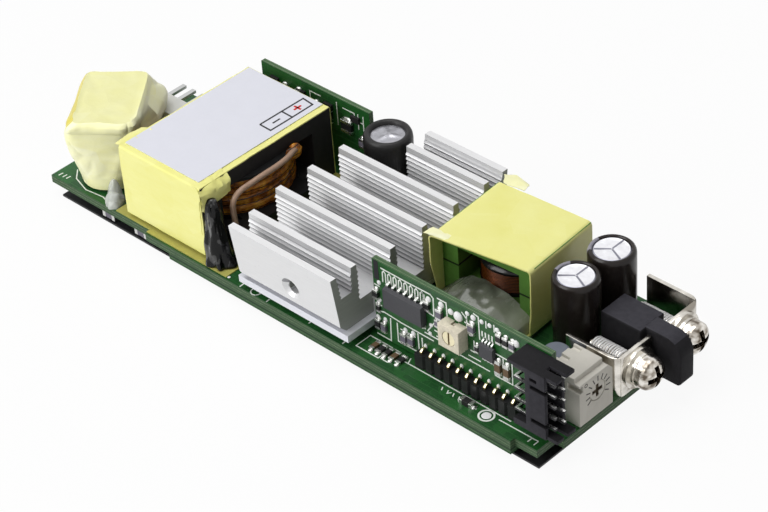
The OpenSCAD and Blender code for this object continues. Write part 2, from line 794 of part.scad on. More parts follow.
// Upper ferrite half of the transformer
module transformer_core_upper() color([0.1, 0.1, 0.11]) on_board() translate([tr_cx, tr_cy, tr_z1 - tape_t])
  mirror([0, 0, 1])
    half_core(transformer_l, transformer_w - 2 * tape_t, core_plate, core_mouth, core_half,
    core_post_d / 2, wind_r + wind_gap);

// Black bobbin with a terminal rail on each side
module transformer_bobbin() color([0.08, 0.08, 0.08]) on_board()
  translate([tr_cx, tr_cy, tr_zm - window_half]) {
  spool(bobbin_r, bobbin_wall, wind_r, flange_t, 2 * window_half);
  rail_x = transformer_l / 2 + rail_gap;
  foot = sheet_t - (tr_zm - window_half);
  for (s = [-1, 1]) mirror([s < 0 ? 1 : 0, 0, 0]) {
    block([rail_x, -rail_half, foot], [rail_x + (s > 0 ? rail_w : sheet_in - 1), rail_half, flange_t]);
    block([bobbin_r, -rail_tab, 0], [rail_x + over, rail_tab, flange_t]);
  }
}

// Amber tape over the windings, with the edges of its layers showing
module transformer_winding() color([0.62, 0.36, 0.1]) on_board()
  translate([tr_cx, tr_cy, tr_zm - window_half + flange_t])
    coil(bobbin_r, wind_r - wind_room, 2 * (window_half - flange_t), layer_count, layer_step);

// Loop of yellow tape over the transformer core
module transformer_tape() color([0.93, 0.9, 0.5]) on_board()
  along_x(tr_x0, tr_x1) translate([tr_y0, tr_z0]) tape_loop(transformer_w, transformer_h);

// White label on the transformer's top
module transformer_label() color([0.93, 0.92, 0.95]) on_board()
  block([tr_x0 + label_in, tr_y0 + label_edge, tr_z1],
    [tr_x1 - label_edge, tr_y1 - label_in, tr_z1 + label_t]);

// Black sealant at the transformer's near corner
module corner_sealant() color([0.07, 0.07, 0.07]) on_board()
  translate([tr_x1 + column_gap, tr_y0 + column_in, sheet_t]) rotate_extrude($fn = 32)
    polygon(concat([[0, 0], [column_foot, 0]], [for (a = [0:15:90])
      [column_top * cos(a) + (column_foot - column_top) * (1 - sin(a)) * cos(a) / 2,
        column_h - column_foot + column_foot * sin(a)]]));

// Sleeved lead from the winding to the bobbin's rail
module fly_lead() color([0.82, 0.79, 0.7]) on_board() tube_along(lead_route, lead_r, lead_sides);

// Power devices between the main board and the heatsink's plate
module power_devices() color([0.12, 0.12, 0.12]) on_board()
  for (x = [hs_x0 + heatsink_l / 4, hs_x0 + heatsink_l * 3 / 4], y = [hs_cy - fin_pitch, hs_cy + fin_pitch])
    translate([x - device_l / 2, y - device_w / 2, 0]) cube([device_l, device_w, device_h]);

// Flat plate that the heatsink stands on
module heatsink_plate() color([0.6, 0.6, 0.62]) on_board() difference() {
  block([hs_x0 + plate_in, hs_cy - outer_off + plate_side, device_h],
    [hs_x1 - plate_in / 2, hs_cy + outer_off - plate_side, hs_z0]);
  bulk_notch();
}

// Room for the bulk capacitor in the heatsink and its plate
module bulk_notch() block([hs_x0 - over, bulk_cy - bulk_d / 2 - bulk_room, 0],
  [bulk_cx + bulk_d / 2 + bulk_room, board_w + bulk_d, 2 * hs_z1]);

// Finned heatsink
module heatsink() color([0.8, 0.8, 0.82]) on_board() difference() {
  along_x(hs_x0, hs_x1) translate([hs_cy, hs_z0]) heatsink_section();
  split = hs_cy - 1.5 * fin_pitch;
  block([hs_x0 - over, -bulk_d, 0], [hs_x0 + near_cut_in, split, 2 * hs_z1]);
  block([hs_x1 - near_cut_out, -bulk_d, 0], [hs_x1 + over, split, 2 * hs_z1]);
  along_y(-bulk_d, hs_cy - 2 * fin_pitch - fin_t) translate([hs_x0 + near_cut_in, hs_z0])
    polygon([[-over, -over], [corner_cut, -over], [corner_cut, 0], [0, corner_cut], [-over, corner_cut]]);
  bulk_notch();
  tap_face = hs_cy - outer_off - fin_t / 2 + fin_lean * (hs_z1 - tap_z);
  translate([tap_x, tap_face - over, tap_z]) rotate([-90, 0, 0]) {
    cylinder(d = tap_d, h = tap_deep + over, $fn = 48);
    cylinder(r1 = tap_d / 2 + tap_mouth + over, r2 = tap_d / 2, h = tap_mouth + over, $fn = 48);
  }
}

// Aluminium can of the bulk capacitor
module bulk_can() color([0.72, 0.72, 0.74]) on_board() translate([bulk_cx, bulk_cy, 0])
  can(bulk_d / 2 - sleeve_t - fit, bulk_h - rim_t);

// Black sleeve of the bulk capacitor
module bulk_sleeve() color([0.07, 0.07, 0.08]) on_board() translate([bulk_cx, bulk_cy, can_gap])
  sleeve(bulk_d / 2, bulk_h - can_gap);

// Upright board behind the transformer
module aux_board() color([0.08, 0.42, 0.18]) on_board()
  block([aux_x0, aux_y0, 0], [aux_x1, aux_y0 + aux_t, aux_h]);

// Parts on the auxiliary board's two faces
module aux_parts() color([0.13, 0.13, 0.13]) on_board() {
  part_size = [4.9, 1.5, 3.9];
  part_in = 2.5;
  part_step = aux_l / 4;
  chip_drop = 3.2;
  for (i = [0:2]) translate([aux_x0 + part_in + i * part_step, aux_y0 + aux_t, aux_h / 3]) cube(part_size);
  for (i = [0:3]) translate([aux_x0 + part_in + i * part_step, aux_y0 - chip_t, aux_h - chip_drop])
    cube([chip_h, chip_t, chip_w]);
}

// Places the output choke's pieces about its own centre
module at_out_choke(z) on_board() translate([oc_cx, oc_cy, z]) rotate(oc_turn) children();

// The same about the core's centre, as the tape reaches past the core at the near side
module at_out_core(z) at_out_choke(z) translate([0, oc_lip / 2, 0]) children();

// Lower green core of the output choke
module out_choke_core_lower() color([0.2, 0.5, 0.2]) at_out_core(oc_z0 + tape_t) rotate(90)
  half_core(oc_deep, out_choke_l - 2 * tape_t, out_plate, oc_mouth, oc_half, oc_post_r,
    oc_wind_r + oc_core_gap);

// Upper green core of the output choke
module out_choke_core_upper() color([0.2, 0.5, 0.2]) at_out_core(oc_z1 - tape_t) mirror([0, 0, 1])
  rotate(90)
  half_core(oc_deep, out_choke_l - 2 * tape_t, out_plate, oc_mouth, oc_half, oc_post_r,
    oc_wind_r + oc_core_gap);

// Black bobbin of the output choke, on two feet
module out_choke_bobbin() color([0.06, 0.06, 0.06]) at_out_choke(oc_zm - oc_window) {
  translate([0, oc_lip / 2, 0])
    spool(oc_post_r + play + oc_tube, oc_tube, oc_wind_r, oc_flange, 2 * oc_window);
  for (s = [-1, 1]) mirror([0, s < 0 ? 1 : 0, 0]) {
    foot_y = out_choke_w / 2 + play;
    arm_y = oc_post_r + play + (oc_tube + s * oc_lip) / 2;
    block([-oc_foot, arm_y, 0], [oc_foot, foot_y + oc_foot / 2, oc_flange]);
    block([-oc_foot, foot_y, oc_window - oc_zm], [oc_foot, foot_y + oc_foot / 2, oc_flange]);
  }
}

// Enamelled copper winding of the output choke
module out_choke_winding() color([0.55, 0.27, 0.1]) at_out_core(oc_zm - oc_window + oc_flange)
  coil(oc_post_r + play + oc_tube, oc_wind_r - oc_turn_room, 2 * (oc_window - oc_flange), oc_turns,
    oc_turn_step);

// Yellow tape over the output choke's core
module out_choke_tape() color([0.93, 0.9, 0.5]) at_out_choke(0)
  along_y(-out_choke_w / 2, out_choke_w / 2) translate([-out_choke_l / 2, oc_z0])
    tape_loop(out_choke_l, out_choke_h);

// Clear sealant heaped in the output choke's near mouth, clear of the bobbin's foot
module out_choke_sealant() color([0.72, 0.73, 0.7]) at_out_choke(0) difference() {
  near = -out_choke_w / 2;
  front = oc_cy + near - out_choke_l / 2 * sin(oc_turn);
  reach = (front - control_y1) * mass_share + oc_lip;
  side = out_choke_l / 2 - tape_t - mass_gap;
  foot = oc_foot + mass_gap;
  intersection() {
    translate([0, near + oc_lip, 0]) scale([out_choke_l / 2, reach, mass_h]) lump(1, 1);
    union() {
      block([-out_choke_l, near - reach, 0], [out_choke_l, near - mass_gap, out_choke_h]);
      block([-side, near - 2 * mass_gap, oc_z0 + tape_t + mass_gap],
        [side, near + oc_lip - mass_gap, out_choke_h]);
    }
  }
  block([-foot, near - play - oc_foot / 2 - mass_gap, -over],
    [foot, 0, oc_zm - oc_window + oc_flange + mass_gap]);
}

// Aluminium cans of the output capacitors
module out_cap_cans() color([0.72, 0.72, 0.74]) on_board() for (y = cap_ys) translate([cap_x, y, 0])
  can(out_cap_d / 2 - sleeve_t - fit, out_cap_h - rim_t);

// Dark brown sleeves of the output capacitors
module out_cap_sleeves() color([0.13, 0.09, 0.07]) on_board() for (y = cap_ys)
  translate([cap_x, y, can_gap])
  sleeve(out_cap_d / 2, out_cap_h - can_gap);

// Small capacitor with a plain top
module small_cap() color([0.5, 0.52, 0.55]) on_board() translate([small_cx, small_cy, 0])
  rotate_extrude($fn = 48)
    polygon([[0, 0], [small_cap_d / 2, 0], [small_cap_d / 2, small_cap_h - small_cap_edge],
      [small_cap_d / 2 - small_cap_edge, small_cap_h], [0, small_cap_h]]);

// Upright control board, which carries the signal connector on its front
module control_board() color([0.08, 0.42, 0.18]) on_board()
  block([control_x0, control_y0, control_z0], [control_x1, control_y1, control_z1]);

// Black chip packages of the two control circuits
module control_ics() color([0.13, 0.13, 0.14]) on_board() {
  chip_package(ic_x0, ic_x0 + ic_l, ic_zc, ic_w, ic_deep);
  chip_package(small_ic_x0, small_ic_x0 + small_ic_l, small_ic_zc, small_ic_w, small_ic_deep);
}

// Tinned leads of the two control circuits
module control_ic_leads() color([0.78, 0.78, 0.76]) on_board() {
  first = ic_x0 + ic_l / 2 - (ic_count - 1) / 2 * ic_pitch;
  small_first = small_ic_x0 + small_ic_l / 2 - (small_ic_count - 1) / 2 * small_ic_pitch;
  gull_leads(first, ic_pitch, ic_count, ic_lead_w, ic_zc, ic_w, ic_deep / 2);
  gull_leads(small_first, small_ic_pitch, small_ic_count, small_ic_lead_w, small_ic_zc, small_ic_w,
    small_ic_deep / 2);
}

// Chip parts soldered round them
module control_chips() color([0.45, 0.4, 0.36]) on_board() {
  for (x = low_chips) front_chip(control_x0 + x, control_z1 - low_chip_drop);
  for (x = top_chips) front_chip(control_x0 + x, control_z1 - top_chip_drop);
  for (i = [0:end_chip_count - 1])
    front_chip(control_x0 + end_chip_in + i * end_chip_step, control_z1 - end_chip_drop);
  for (i = [0:1]) front_chip(control_x0 + pair_in + i * pair_step, control_z1 - pair_drop);
  front_chip(control_x0 + edge_chip_in, control_z1 - edge_chip_drop);
}

// Black strip that carries the joining pins
module header_body() color([0.05, 0.05, 0.05]) on_board() difference() {
  block([header_x0, control_y0 - header_d, 0], [header_x1, control_y0, header_h]);
  for (i = [1:header_count - 1])
    translate([header_first + i * header_pitch, control_y0 - header_d, header_h / 2])
      rotate(45) cube([header_notch, header_notch, header_h + over], center = true);
}

// Gold pins bent from the strip to the control board
module header_pins() color([0.83, 0.68, 0.36]) on_board() for (i = [0:header_count - 1]) {
  x = header_first + (i + 0.5) * header_pitch;
  back = pin_out - header_pin;
  under = header_rise - header_pin;
  along_x(x - header_pin / 2, x + header_pin / 2) translate([control_y0, header_h])
    polygon([[-pin_out, 0], [-back, 0], [-back, under - pin_bend], [pin_bend - back, under], [0, under],
      [0, header_rise], [pin_corner - pin_out, header_rise], [-pin_out, header_rise - pin_corner]]);
}

// Cream body of the small adjuster
module small_trimmer_body() color([0.85, 0.79, 0.68]) on_board() difference() {
  block([small_trim_x0, control_y0 - small_trim_d, small_trim_z0],
    [small_trim_x0 + small_trim, control_y0, small_trim_z0 + small_trim]);
  translate([small_trim_cx, control_y0 - small_trim_d, small_trim_cz]) rotate([-90, 0, 0]) {
    translate([0, 0, -over]) cylinder(d = small_dial_d + 2 * play, h = over + rotor_t);
    translate([0, 0, rotor_t - play]) cylinder(d = wiper_d + 2 * play, h = wiper_t + 2 * play);
  }
  translate([small_trim_cx - mark_w / 2, control_y0 - small_trim_d / 2, small_trim_z0 + small_trim - mark_d])
    cube([mark_w, small_trim_d, 2 * mark_d]);
}

// Slotted rotor of the small adjuster
module small_trimmer_rotor() color([0.93, 0.88, 0.72]) on_board()
  translate([small_trim_cx, control_y0 - small_trim_d, small_trim_cz]) rotate([-90, 0, 0]) difference() {
    union() {
      translate([0, 0, rotor_set]) cylinder(d = small_dial_d, h = rotor_t - rotor_set);
      translate([0, 0, rotor_t]) cylinder(d = wiper_d, h = wiper_t);
    }
    translate([-slot_w / 2, -small_dial_d, -over]) cube([slot_w, 2 * small_dial_d, over + slot_d]);
  }

// Shrouded signal connector facing the output end
module signal_connector() color([0.08, 0.08, 0.09]) on_board() translate([0, 0, conn_up]) {
  mouth = conn_x1 - conn_short;
  mid = (conn_y0 + conn_y1) / 2;
  block([conn_x0, conn_y0, 0], [conn_x0 + conn_back, conn_y1, conn_h]);
  block([conn_x0, conn_y1 - connector_wall, 0], [mouth, conn_y1, conn_h]);
  difference() {
    block([conn_x0, conn_y0, 0], [mouth, conn_y0 + connector_wall, conn_h]);
    for (z = conn_slits) translate([conn_x0 + conn_slit_in, conn_y0 - over, z * conn_h])
      cube([conn_deep, connector_wall + 2 * over, conn_slit_h]);
    translate([conn_x0 + conn_window_in, conn_y0 - over, conn_window_up * conn_h])
      cube([conn_window_w, connector_wall + 2 * over, conn_window_h]);
  }
  difference() {
    union() {
      block([ear_x0, conn_y0, conn_h - connector_wall], [conn_x1, conn_y1, conn_h]);
      block([conn_x0, conn_y0, 0], [conn_x1, conn_y1, connector_wall]);
    }
    translate([mouth, conn_y0 - over, -over]) cube([conn_deep, over + conn_trim, conn_h + 2 * over]);
    translate([conn_x1 - conn_slot_l, mid - conn_slot / 2, -over])
      cube([conn_deep, conn_slot, conn_h + 2 * over]);
  }
  block([conn_x0 - conn_low_ear, conn_y0, 0], [conn_x0 + fit, conn_y1, conn_low_h]);
}

// Two columns of contacts, their leads bent back to the control board
module signal_pins() color([0.78, 0.76, 0.7]) on_board()
  for (i = [0:connector_rows - 1], s = [-1, 1]) {
    z = conn_up + connector_wall + conn_play / 2 + (i + 0.5) * connector_pitch;
    reach = s < 0 ? conn_lead_l : conn_lead_short;
    translate([conn_x0, (conn_y0 + conn_y1) / 2 + s * connector_pitch / 2, z]) {
      block([conn_back, -conn_pin / 2, -conn_pin / 2], [conn_deep - conn_tip, conn_pin / 2, conn_pin / 2]);
      block([-reach, -conn_pin / 2, -conn_pin / 2], [0, conn_pin / 2, conn_pin / 2]);
      block([-reach, -conn_pin / 2, -conn_pin / 2],
        [conn_pin - reach, (connector_w - s * connector_pitch) / 2, conn_pin / 2]);
    }
  }

// Grey body of the output adjuster, with a ridge along its back
module trimmer_body() color([0.74, 0.72, 0.67]) on_board() difference() {
  union() {
    along_x(trim_x0, trim_x1) translate([trim_y0, 0])
      polygon([[0, 0], [trim_w, 0], [trim_w, trim_h - trim_chamfer], [trim_w - trim_chamfer, trim_h],
        [0, trim_h]]);
    block([trim_x0, trim_y0, trim_h],
      [trim_x1 - trim_ridge_back, trim_y1 - trim_chamfer, trim_h + trim_ridge]);
  }
  translate([trim_x1, dial_y, dial_z]) rotate([0, -90, 0]) {
    translate([0, 0, -over]) cylinder(d = dial_d + 2 * play, h = over + dial_t);
    cylinder(r = shaft_r + play, h = dial_t + 2 * shaft_l + play);
  }
  translate([trim_x1 - trim_notch[0], trim_y0 - over, trim_h - trim_notch_in])
    cube([trim_notch[0] + over, trim_notch[1] + over, trim_notch[2]]);
  for (y = trim_pockets) translate([trim_x0 - over, trim_y0 + y, trim_h + trim_ridge - trim_pocket[2]])
    cube(trim_pocket + [over, 0, over]);
}

// Cross-slotted dial of the output adjuster
module trimmer_rotor() color([0.8, 0.78, 0.72]) on_board()
  translate([trim_x1, dial_y, dial_z]) rotate([0, -90, 0]) difference() {
    union() {
      translate([0, 0, dial_set]) cylinder(d = dial_d, h = dial_t - dial_set);
      translate([0, 0, dial_set]) cylinder(r = shaft_r, h = dial_t + 2 * shaft_l - dial_set);
    }
    for (a = [0, 90]) rotate(a) translate([-dial_slot_l / 2, -dial_slot_w / 2, -over])
      cube([dial_slot_l, dial_slot_w, over + dial_set + dial_slot_d]);
  }

// Bent terminal bracket with its plate at the board's end, near side
module bracket() difference() {
  linear_extrude(bracket_h) {
    difference() {
      translate([plate_x1 - bracket_leg, near_y0]) square([bracket_leg, bracket_w]);
      translate([plate_x1 - bracket_leg - over, near_y0 + bracket_t])
        square([bracket_leg + over - bracket_t, bracket_w]);
      translate([plate_x1 - bend_r, near_y0]) difference() {
        translate([0, -over]) square([bend_r + over, bend_r + over]);
        translate([0, bend_r]) circle(bend_r);
      }
    }
  }
  translate([plate_x0 - over, screw_ys[0], screw_z]) rotate([0, 90, 0])
    cylinder(d = screw_d + 2 * fit, h = bracket_t + 2 * over);
}

// Near terminal bracket
module terminal_near() color([0.75, 0.74, 0.71]) on_board() bracket();

// Far terminal bracket, the near one's mirror image
module terminal_far() color([0.75, 0.74, 0.71]) on_board() translate([0, 2 * term_cy, 0])
  mirror([0, 1, 0]) bracket();

// Flat washers against the terminal plates
module flat_washers() color([0.78, 0.76, 0.72]) on_board() for (y = screw_ys)
  translate([plate_x1, y, screw_z]) rotate([0, 90, 0]) difference() {
    cylinder(d = washer_d, h = washer_t);
    translate([0, 0, -over]) cylinder(d = screw_d + 4 * fit, h = washer_t + 2 * over);
  }

// Split spring washers under the screw heads
module spring_washers() color([0.7, 0.69, 0.66]) on_board() for (y = screw_ys)
  translate([plate_x1 + washer_t, y, screw_z]) rotate([0, 90, 0]) difference() {
    cylinder(d = spring_d, h = spring_t);
    translate([0, 0, -over]) cylinder(d = screw_d + 4 * fit, h = spring_t + 2 * over);
    translate([0, -spring_split / 2, -over]) cube([spring_d, spring_split, spring_t + 2 * over]);
  }

// Terminal screws with domed heads and cross recesses
module terminal_screws() color([0.8, 0.78, 0.74]) on_board() for (y = screw_ys)
  translate([plate_x1 + washer_t + spring_t, y, screw_z]) rotate([0, 90, 0]) {
    translate([0, 0, -washer_t - spring_t - bracket_t - shank_l])
      cylinder(d = screw_d, h = washer_t + spring_t + bracket_t + shank_l);
    difference() {
      rotate_extrude($fn = 48) polygon(concat([[0, 0], [screw_head_d / 2, 0]],
        [for (a = [0:15:90]) [screw_head_d / 2 * cos(a), head_side + (head_h - head_side) * sin(a)]]));
      for (a = [0, 90]) rotate(a) translate([-recess_l / 2, -recess_w / 2, head_h - recess_d])
        cube([recess_l, recess_w, 2 * recess_d]);
    }
  }

// Black barrier: a block behind the terminals and a round-nosed tongue between them
module terminal_barrier() color([0.07, 0.07, 0.08]) on_board() {
  block([bar_x0, term_cy - barrier_w / 2, 0], [bar_x1, term_cy + barrier_w / 2, barrier_h]);
  along_y(term_cy - tongue_t / 2, term_cy + tongue_t / 2) translate([bar_x1 - over, 0]) {
    square([tongue_l + over - tongue_round, barrier_h]);
    square([tongue_l + over, barrier_h - tongue_round]);
    translate([tongue_l + over - tongue_round, barrier_h - tongue_round]) circle(tongue_round);
  }
}

insulating_film();
film_pads();
lower_board();
main_board();
under_chips();
board_chips();
input_choke_core();
input_choke_tape();
choke_sealant();
inlet_body();
inlet_pins();
insulating_sheet();
transformer_core_lower();
transformer_core_upper();
transformer_bobbin();
transformer_winding();
transformer_tape();
transformer_label();
corner_sealant();
fly_lead();
power_devices();
heatsink_plate();
heatsink();
bulk_can();
bulk_sleeve();
aux_board();
aux_parts();
out_choke_core_lower();
out_choke_core_upper();
out_choke_bobbin();
out_choke_winding();
out_choke_tape();
out_choke_sealant();
out_cap_cans();
out_cap_sleeves();
small_cap();
control_board();
control_ics();
control_ic_leads();
control_chips();
header_body();
header_pins();
small_trimmer_body();
small_trimmer_rotor();
signal_connector();
signal_pins();
trimmer_body();
trimmer_rotor();
terminal_near();
terminal_far();
flat_washers();
spring_washers();
terminal_screws();
terminal_barrier();
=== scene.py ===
import json
import math

import bmesh
import bpy
from mathutils import Matrix, Vector, noise

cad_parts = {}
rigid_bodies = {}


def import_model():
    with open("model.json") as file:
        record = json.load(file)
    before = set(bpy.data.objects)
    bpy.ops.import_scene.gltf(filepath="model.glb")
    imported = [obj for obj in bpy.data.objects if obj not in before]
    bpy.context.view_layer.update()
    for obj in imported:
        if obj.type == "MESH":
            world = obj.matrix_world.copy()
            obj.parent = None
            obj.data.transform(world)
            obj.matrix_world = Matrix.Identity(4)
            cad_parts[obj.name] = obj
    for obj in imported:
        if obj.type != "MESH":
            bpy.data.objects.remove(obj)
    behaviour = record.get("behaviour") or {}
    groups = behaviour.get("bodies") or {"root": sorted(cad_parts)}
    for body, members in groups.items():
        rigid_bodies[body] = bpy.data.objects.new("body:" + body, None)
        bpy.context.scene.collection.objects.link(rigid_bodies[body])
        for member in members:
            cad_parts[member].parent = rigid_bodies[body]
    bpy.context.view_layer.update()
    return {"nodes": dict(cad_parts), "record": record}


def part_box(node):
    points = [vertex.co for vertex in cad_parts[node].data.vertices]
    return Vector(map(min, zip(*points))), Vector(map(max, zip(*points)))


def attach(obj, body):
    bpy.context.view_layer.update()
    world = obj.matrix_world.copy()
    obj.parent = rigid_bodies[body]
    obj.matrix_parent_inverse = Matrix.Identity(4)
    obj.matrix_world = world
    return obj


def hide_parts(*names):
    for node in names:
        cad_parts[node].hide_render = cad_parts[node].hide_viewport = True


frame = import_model()
nodes = frame["nodes"]
scene = bpy.context.scene
scene.view_settings.view_transform = "Standard"
mm = 0.001


# The camera: a long lens that looks down on the module from beyond its output end,
# turned a little, as the photograph is.
lens = bpy.data.cameras.new("lens")
lens.lens = 121.1
lens.sensor_width = 36
camera = bpy.data.objects.new("camera", lens)
camera.location = (0.26315, -0.24510, 0.27840)
camera.rotation_euler = [math.radians(a) for a in (52.388, 3.4938, 43.6701)]
scene.collection.objects.link(camera)
scene.camera = camera


# Shader and geometry nodes for the whole module are written with one small class: a socket
# whose sums, products and comparisons add Math nodes, and one method for any other node.
class Paint:
    """A socket in a node tree."""

    def __init__(self, tree, socket=None):
        self.tree = tree
        self.socket = socket

    def node(self, kind, sockets=None, out=0, **settings):
        """Adds a node, sets it up, links what feeds it and returns one of its outputs."""
        made = self.tree.nodes.new(kind)
        for key, value in settings.items():
            setattr(made, key, value)
        for key, value in (sockets or {}).items():
            if isinstance(value, Paint):
                self.tree.links.new(value.socket, made.inputs[key])
            else:
                made.inputs[key].default_value = value
        return Paint(self.tree, made.outputs[out])

    def ramp(self, *stops):
        """This value as a colour, from pairs of a value and its colour: lowest, highest, between."""
        ramp = self.node("ShaderNodeValToRGB", {0: self})
        band = ramp.socket.node.color_ramp.elements
        for i, (place, colour) in enumerate(stops):
            stop = band[i] if i < 2 else band.new(place)
            stop.position = place
            stop.color = (*colour, 1)
        return ramp

    def math(self, operation, a, b=0.0):
        return self.node("ShaderNodeMath", {0: a, 1: b}, operation=operation)

    def __add__(self, other):
        return self.math("ADD", self, other)

    def __sub__(self, other):
        return self.math("SUBTRACT", self, other)

    def __rsub__(self, other):
        return self.math("SUBTRACT", other, self)

    def __mul__(self, other):
        return self.math("MULTIPLY", self, other)

    def __gt__(self, other):
        return self.math("GREATER_THAN", self, other)

    def __lt__(self, other):
        return self.math("LESS_THAN", self, other)

    __radd__ = __add__
    __rmul__ = __mul__


def seen(p):
    """One where a camera, a reflection or a clear part looks straight at the backdrop."""
    rays = ("Is Camera Ray", "Is Glossy Ray", "Is Transmission Ray")
    ways = [p.node("ShaderNodeLightPath", out=ray) for ray in rays]
    return p.math("MINIMUM", ways[0] + ways[1] + ways[2], 1.0)


# The studio: a white sweep with soft light from above and from the near left, so the faces
# towards the output end lie in shade. The floor shows white and keeps a faint shadow.
ambient = 0.16
world = bpy.data.worlds.new("studio")
world.use_nodes = True
backdrop = world.node_tree.nodes["Background"].inputs
backdrop["Color"].default_value = (1, 1, 1, 1)
shown_sky = ambient + seen(Paint(world.node_tree)) * (1 - ambient)
world.node_tree.links.new(shown_sky.socket, backdrop["Strength"])
scene.world = world

floor_half, floor_low, floor_white = 3.0, -0.0002, 0.93
floor_mesh = bpy.data.meshes.new("floor")
floor_mesh.from_pydata([(x * floor_half, y * floor_half, floor_low)
    for x, y in ((-1, -1), (1, -1), (1, 1), (-1, 1))], [], [(0, 1, 2, 3)])
floor = bpy.data.objects.new("floor", floor_mesh)
scene.collection.objects.link(floor)
floor_paint = bpy.data.materials.new("white_sweep")
floor_paint.use_nodes = True
ground = Paint(floor_paint.node_tree)
floor_matte = floor_paint.node_tree.nodes["Principled BSDF"]
floor_matte.inputs["Base Color"].default_value = (0.8, 0.8, 0.8, 1)
floor_matte.inputs["Roughness"].default_value = 0.9
white = ground.node("ShaderNodeEmission", {"Color": (1, 1, 1, 1), "Strength": 1.0})
sweep = ground.node("ShaderNodeMixShader", {0: seen(ground) * floor_white,
    1: Paint(ground.tree, floor_matte.outputs[0]), 2: white})
shown_floor = floor_paint.node_tree.nodes["Material Output"].inputs["Surface"]
floor_paint.node_tree.links.new(sweep.socket, shown_floor)
floor_mesh.materials.append(floor_paint)

for name, place, size, power in (
    ("top_light", (-0.10, -0.05, 0.70), 0.55, 3.0),
    ("near_light", (-0.22, -0.62, 0.42), 0.50, 3.8),
):
    lamp = bpy.data.lights.new(name, "AREA")
    lamp.size = size
    lamp.energy = power
    light = bpy.data.objects.new(name, lamp)
    light.location = place
    light.rotation_euler = (-Vector(place)).to_track_quat("-Z", "Y").to_euler()
    scene.collection.objects.link(light)


# The board stack: two green fibreglass boards glued together over a black insulating film that
# foam pads hold. The boards are pressed laminate with a glossy green lacquer over their copper.
def srgb(r, g, b):
    """A colour as a screen shows it, 0 to 255, as a linear colour."""
    return tuple(c / 255 / 12.92 if c <= 10 else ((c / 255 + 0.055) / 1.055) ** 2.4 for c in (r, g, b))


def surface(name, colour, rough, metal=0.0, **fixed):
    """A new material, its unchanging values set on the shader itself."""
    mat = bpy.data.materials.new(name)
    mat.use_nodes = True
    shader = mat.node_tree.nodes["Principled BSDF"]
    shader.inputs["Base Color"].default_value = (*colour, 1)
    shader.inputs["Roughness"].default_value = rough
    shader.inputs["Metallic"].default_value = metal
    for key, value in fixed.items():
        shader.inputs[key.replace("_", " ")].default_value = value
    return mat, Paint(mat.node_tree), shader


def feed(shader, p, **sockets):
    """Links changing values to the shader's sockets."""
    for key, value in sockets.items():
        p.tree.links.new(value.socket, shader.inputs[key.replace("_", " ")])


def place_of(p, stretch=(1, 1, 1), turn=(0, 0, 0)):
    """Where a point lies in the module's frame, in millimetres."""
    here = p.node("ShaderNodeTexCoord", out=3)
    scale = [1000 * s for s in stretch]
    return p.node("ShaderNodeMapping", {"Vector": here, "Rotation": turn, "Scale": scale})


def axis_of(p, axis):
    """How far along one axis a point lies, in millimetres."""
    return p.node("ShaderNodeSeparateXYZ", {0: place_of(p)}, out="xyz".index(axis))


def cloud(p, at, size, detail=2.0, rough=0.5):
    """Soft noise with features of that size in millimetres."""
    return p.node("ShaderNodeTexNoise",
        {"Vector": at, "Scale": 1 / size, "Detail": detail, "Roughness": rough})


def mixed(p, mask, a, b):
    """Colour a, turning to b where the mask is one."""
    a, b = (c if isinstance(c, Paint) else (*c, 1) for c in (a, b))
    return p.node("ShaderNodeMix", {0: mask, 6: a, 7: b}, out=2, data_type="RGBA")


def relief(p, height, depth, strength=1.0):
    """Bumps of that depth in millimetres."""
    return p.node("ShaderNodeBump", {"Height": height, "Distance": depth / 1000, "Strength": strength})


def darkened(p, tone, boxes, colour):
    """A tone that turns to another colour inside boxes, each given by two corners in metres."""
    for lo, hi in boxes:
        near = [(axis_of(p, a) > lo[i] * 1000) * (axis_of(p, a) < hi[i] * 1000) for i, a in enumerate("xyz")]
        tone = mixed(p, near[0] * near[1] * near[2], tone, colour)
    return tone


def finish(name, colour, rough, metal=0.0, tint=0.14, patch=1.6, grain=0.18, depth=0.012, stretch=(1, 1, 1),
        hollow=((), None), **fixed):
    """A plain finish with soft mottling and a fine grain in its colour, gloss and relief. A hollow is
    a list of boxes, and the colour painted inside them: painted shade in slots and recesses, and the dark
    line of a joint."""
    fixed.setdefault("Specular_IOR_Level", 0.25)
    mat, p, shader = surface(name, colour, rough, metal, **fixed)
    at = place_of(p, stretch)
    mottle = cloud(p, at, patch, 3)
    fine = cloud(p, at, grain, 2)
    dark = tuple(c * (1 - tint) for c in colour)
    light = tuple(min(1, c * (1 + tint) + 0.012) for c in colour)
    tone = darkened(p, mixed(p, mottle * 0.7 + fine * 0.3, dark, light), *hollow)
    feed(shader, p, Base_Color=tone, Roughness=rough * 0.8 + mottle * (rough * 0.4),
        Normal=relief(p, fine * 0.7 + mottle * 0.3, depth))
    return mat


def paint(mat, *names):
    """Gives CAD nodes that keep their shape a finish."""
    for name in names:
        nodes[name].data.materials.clear()
        nodes[name].data.materials.append(mat)


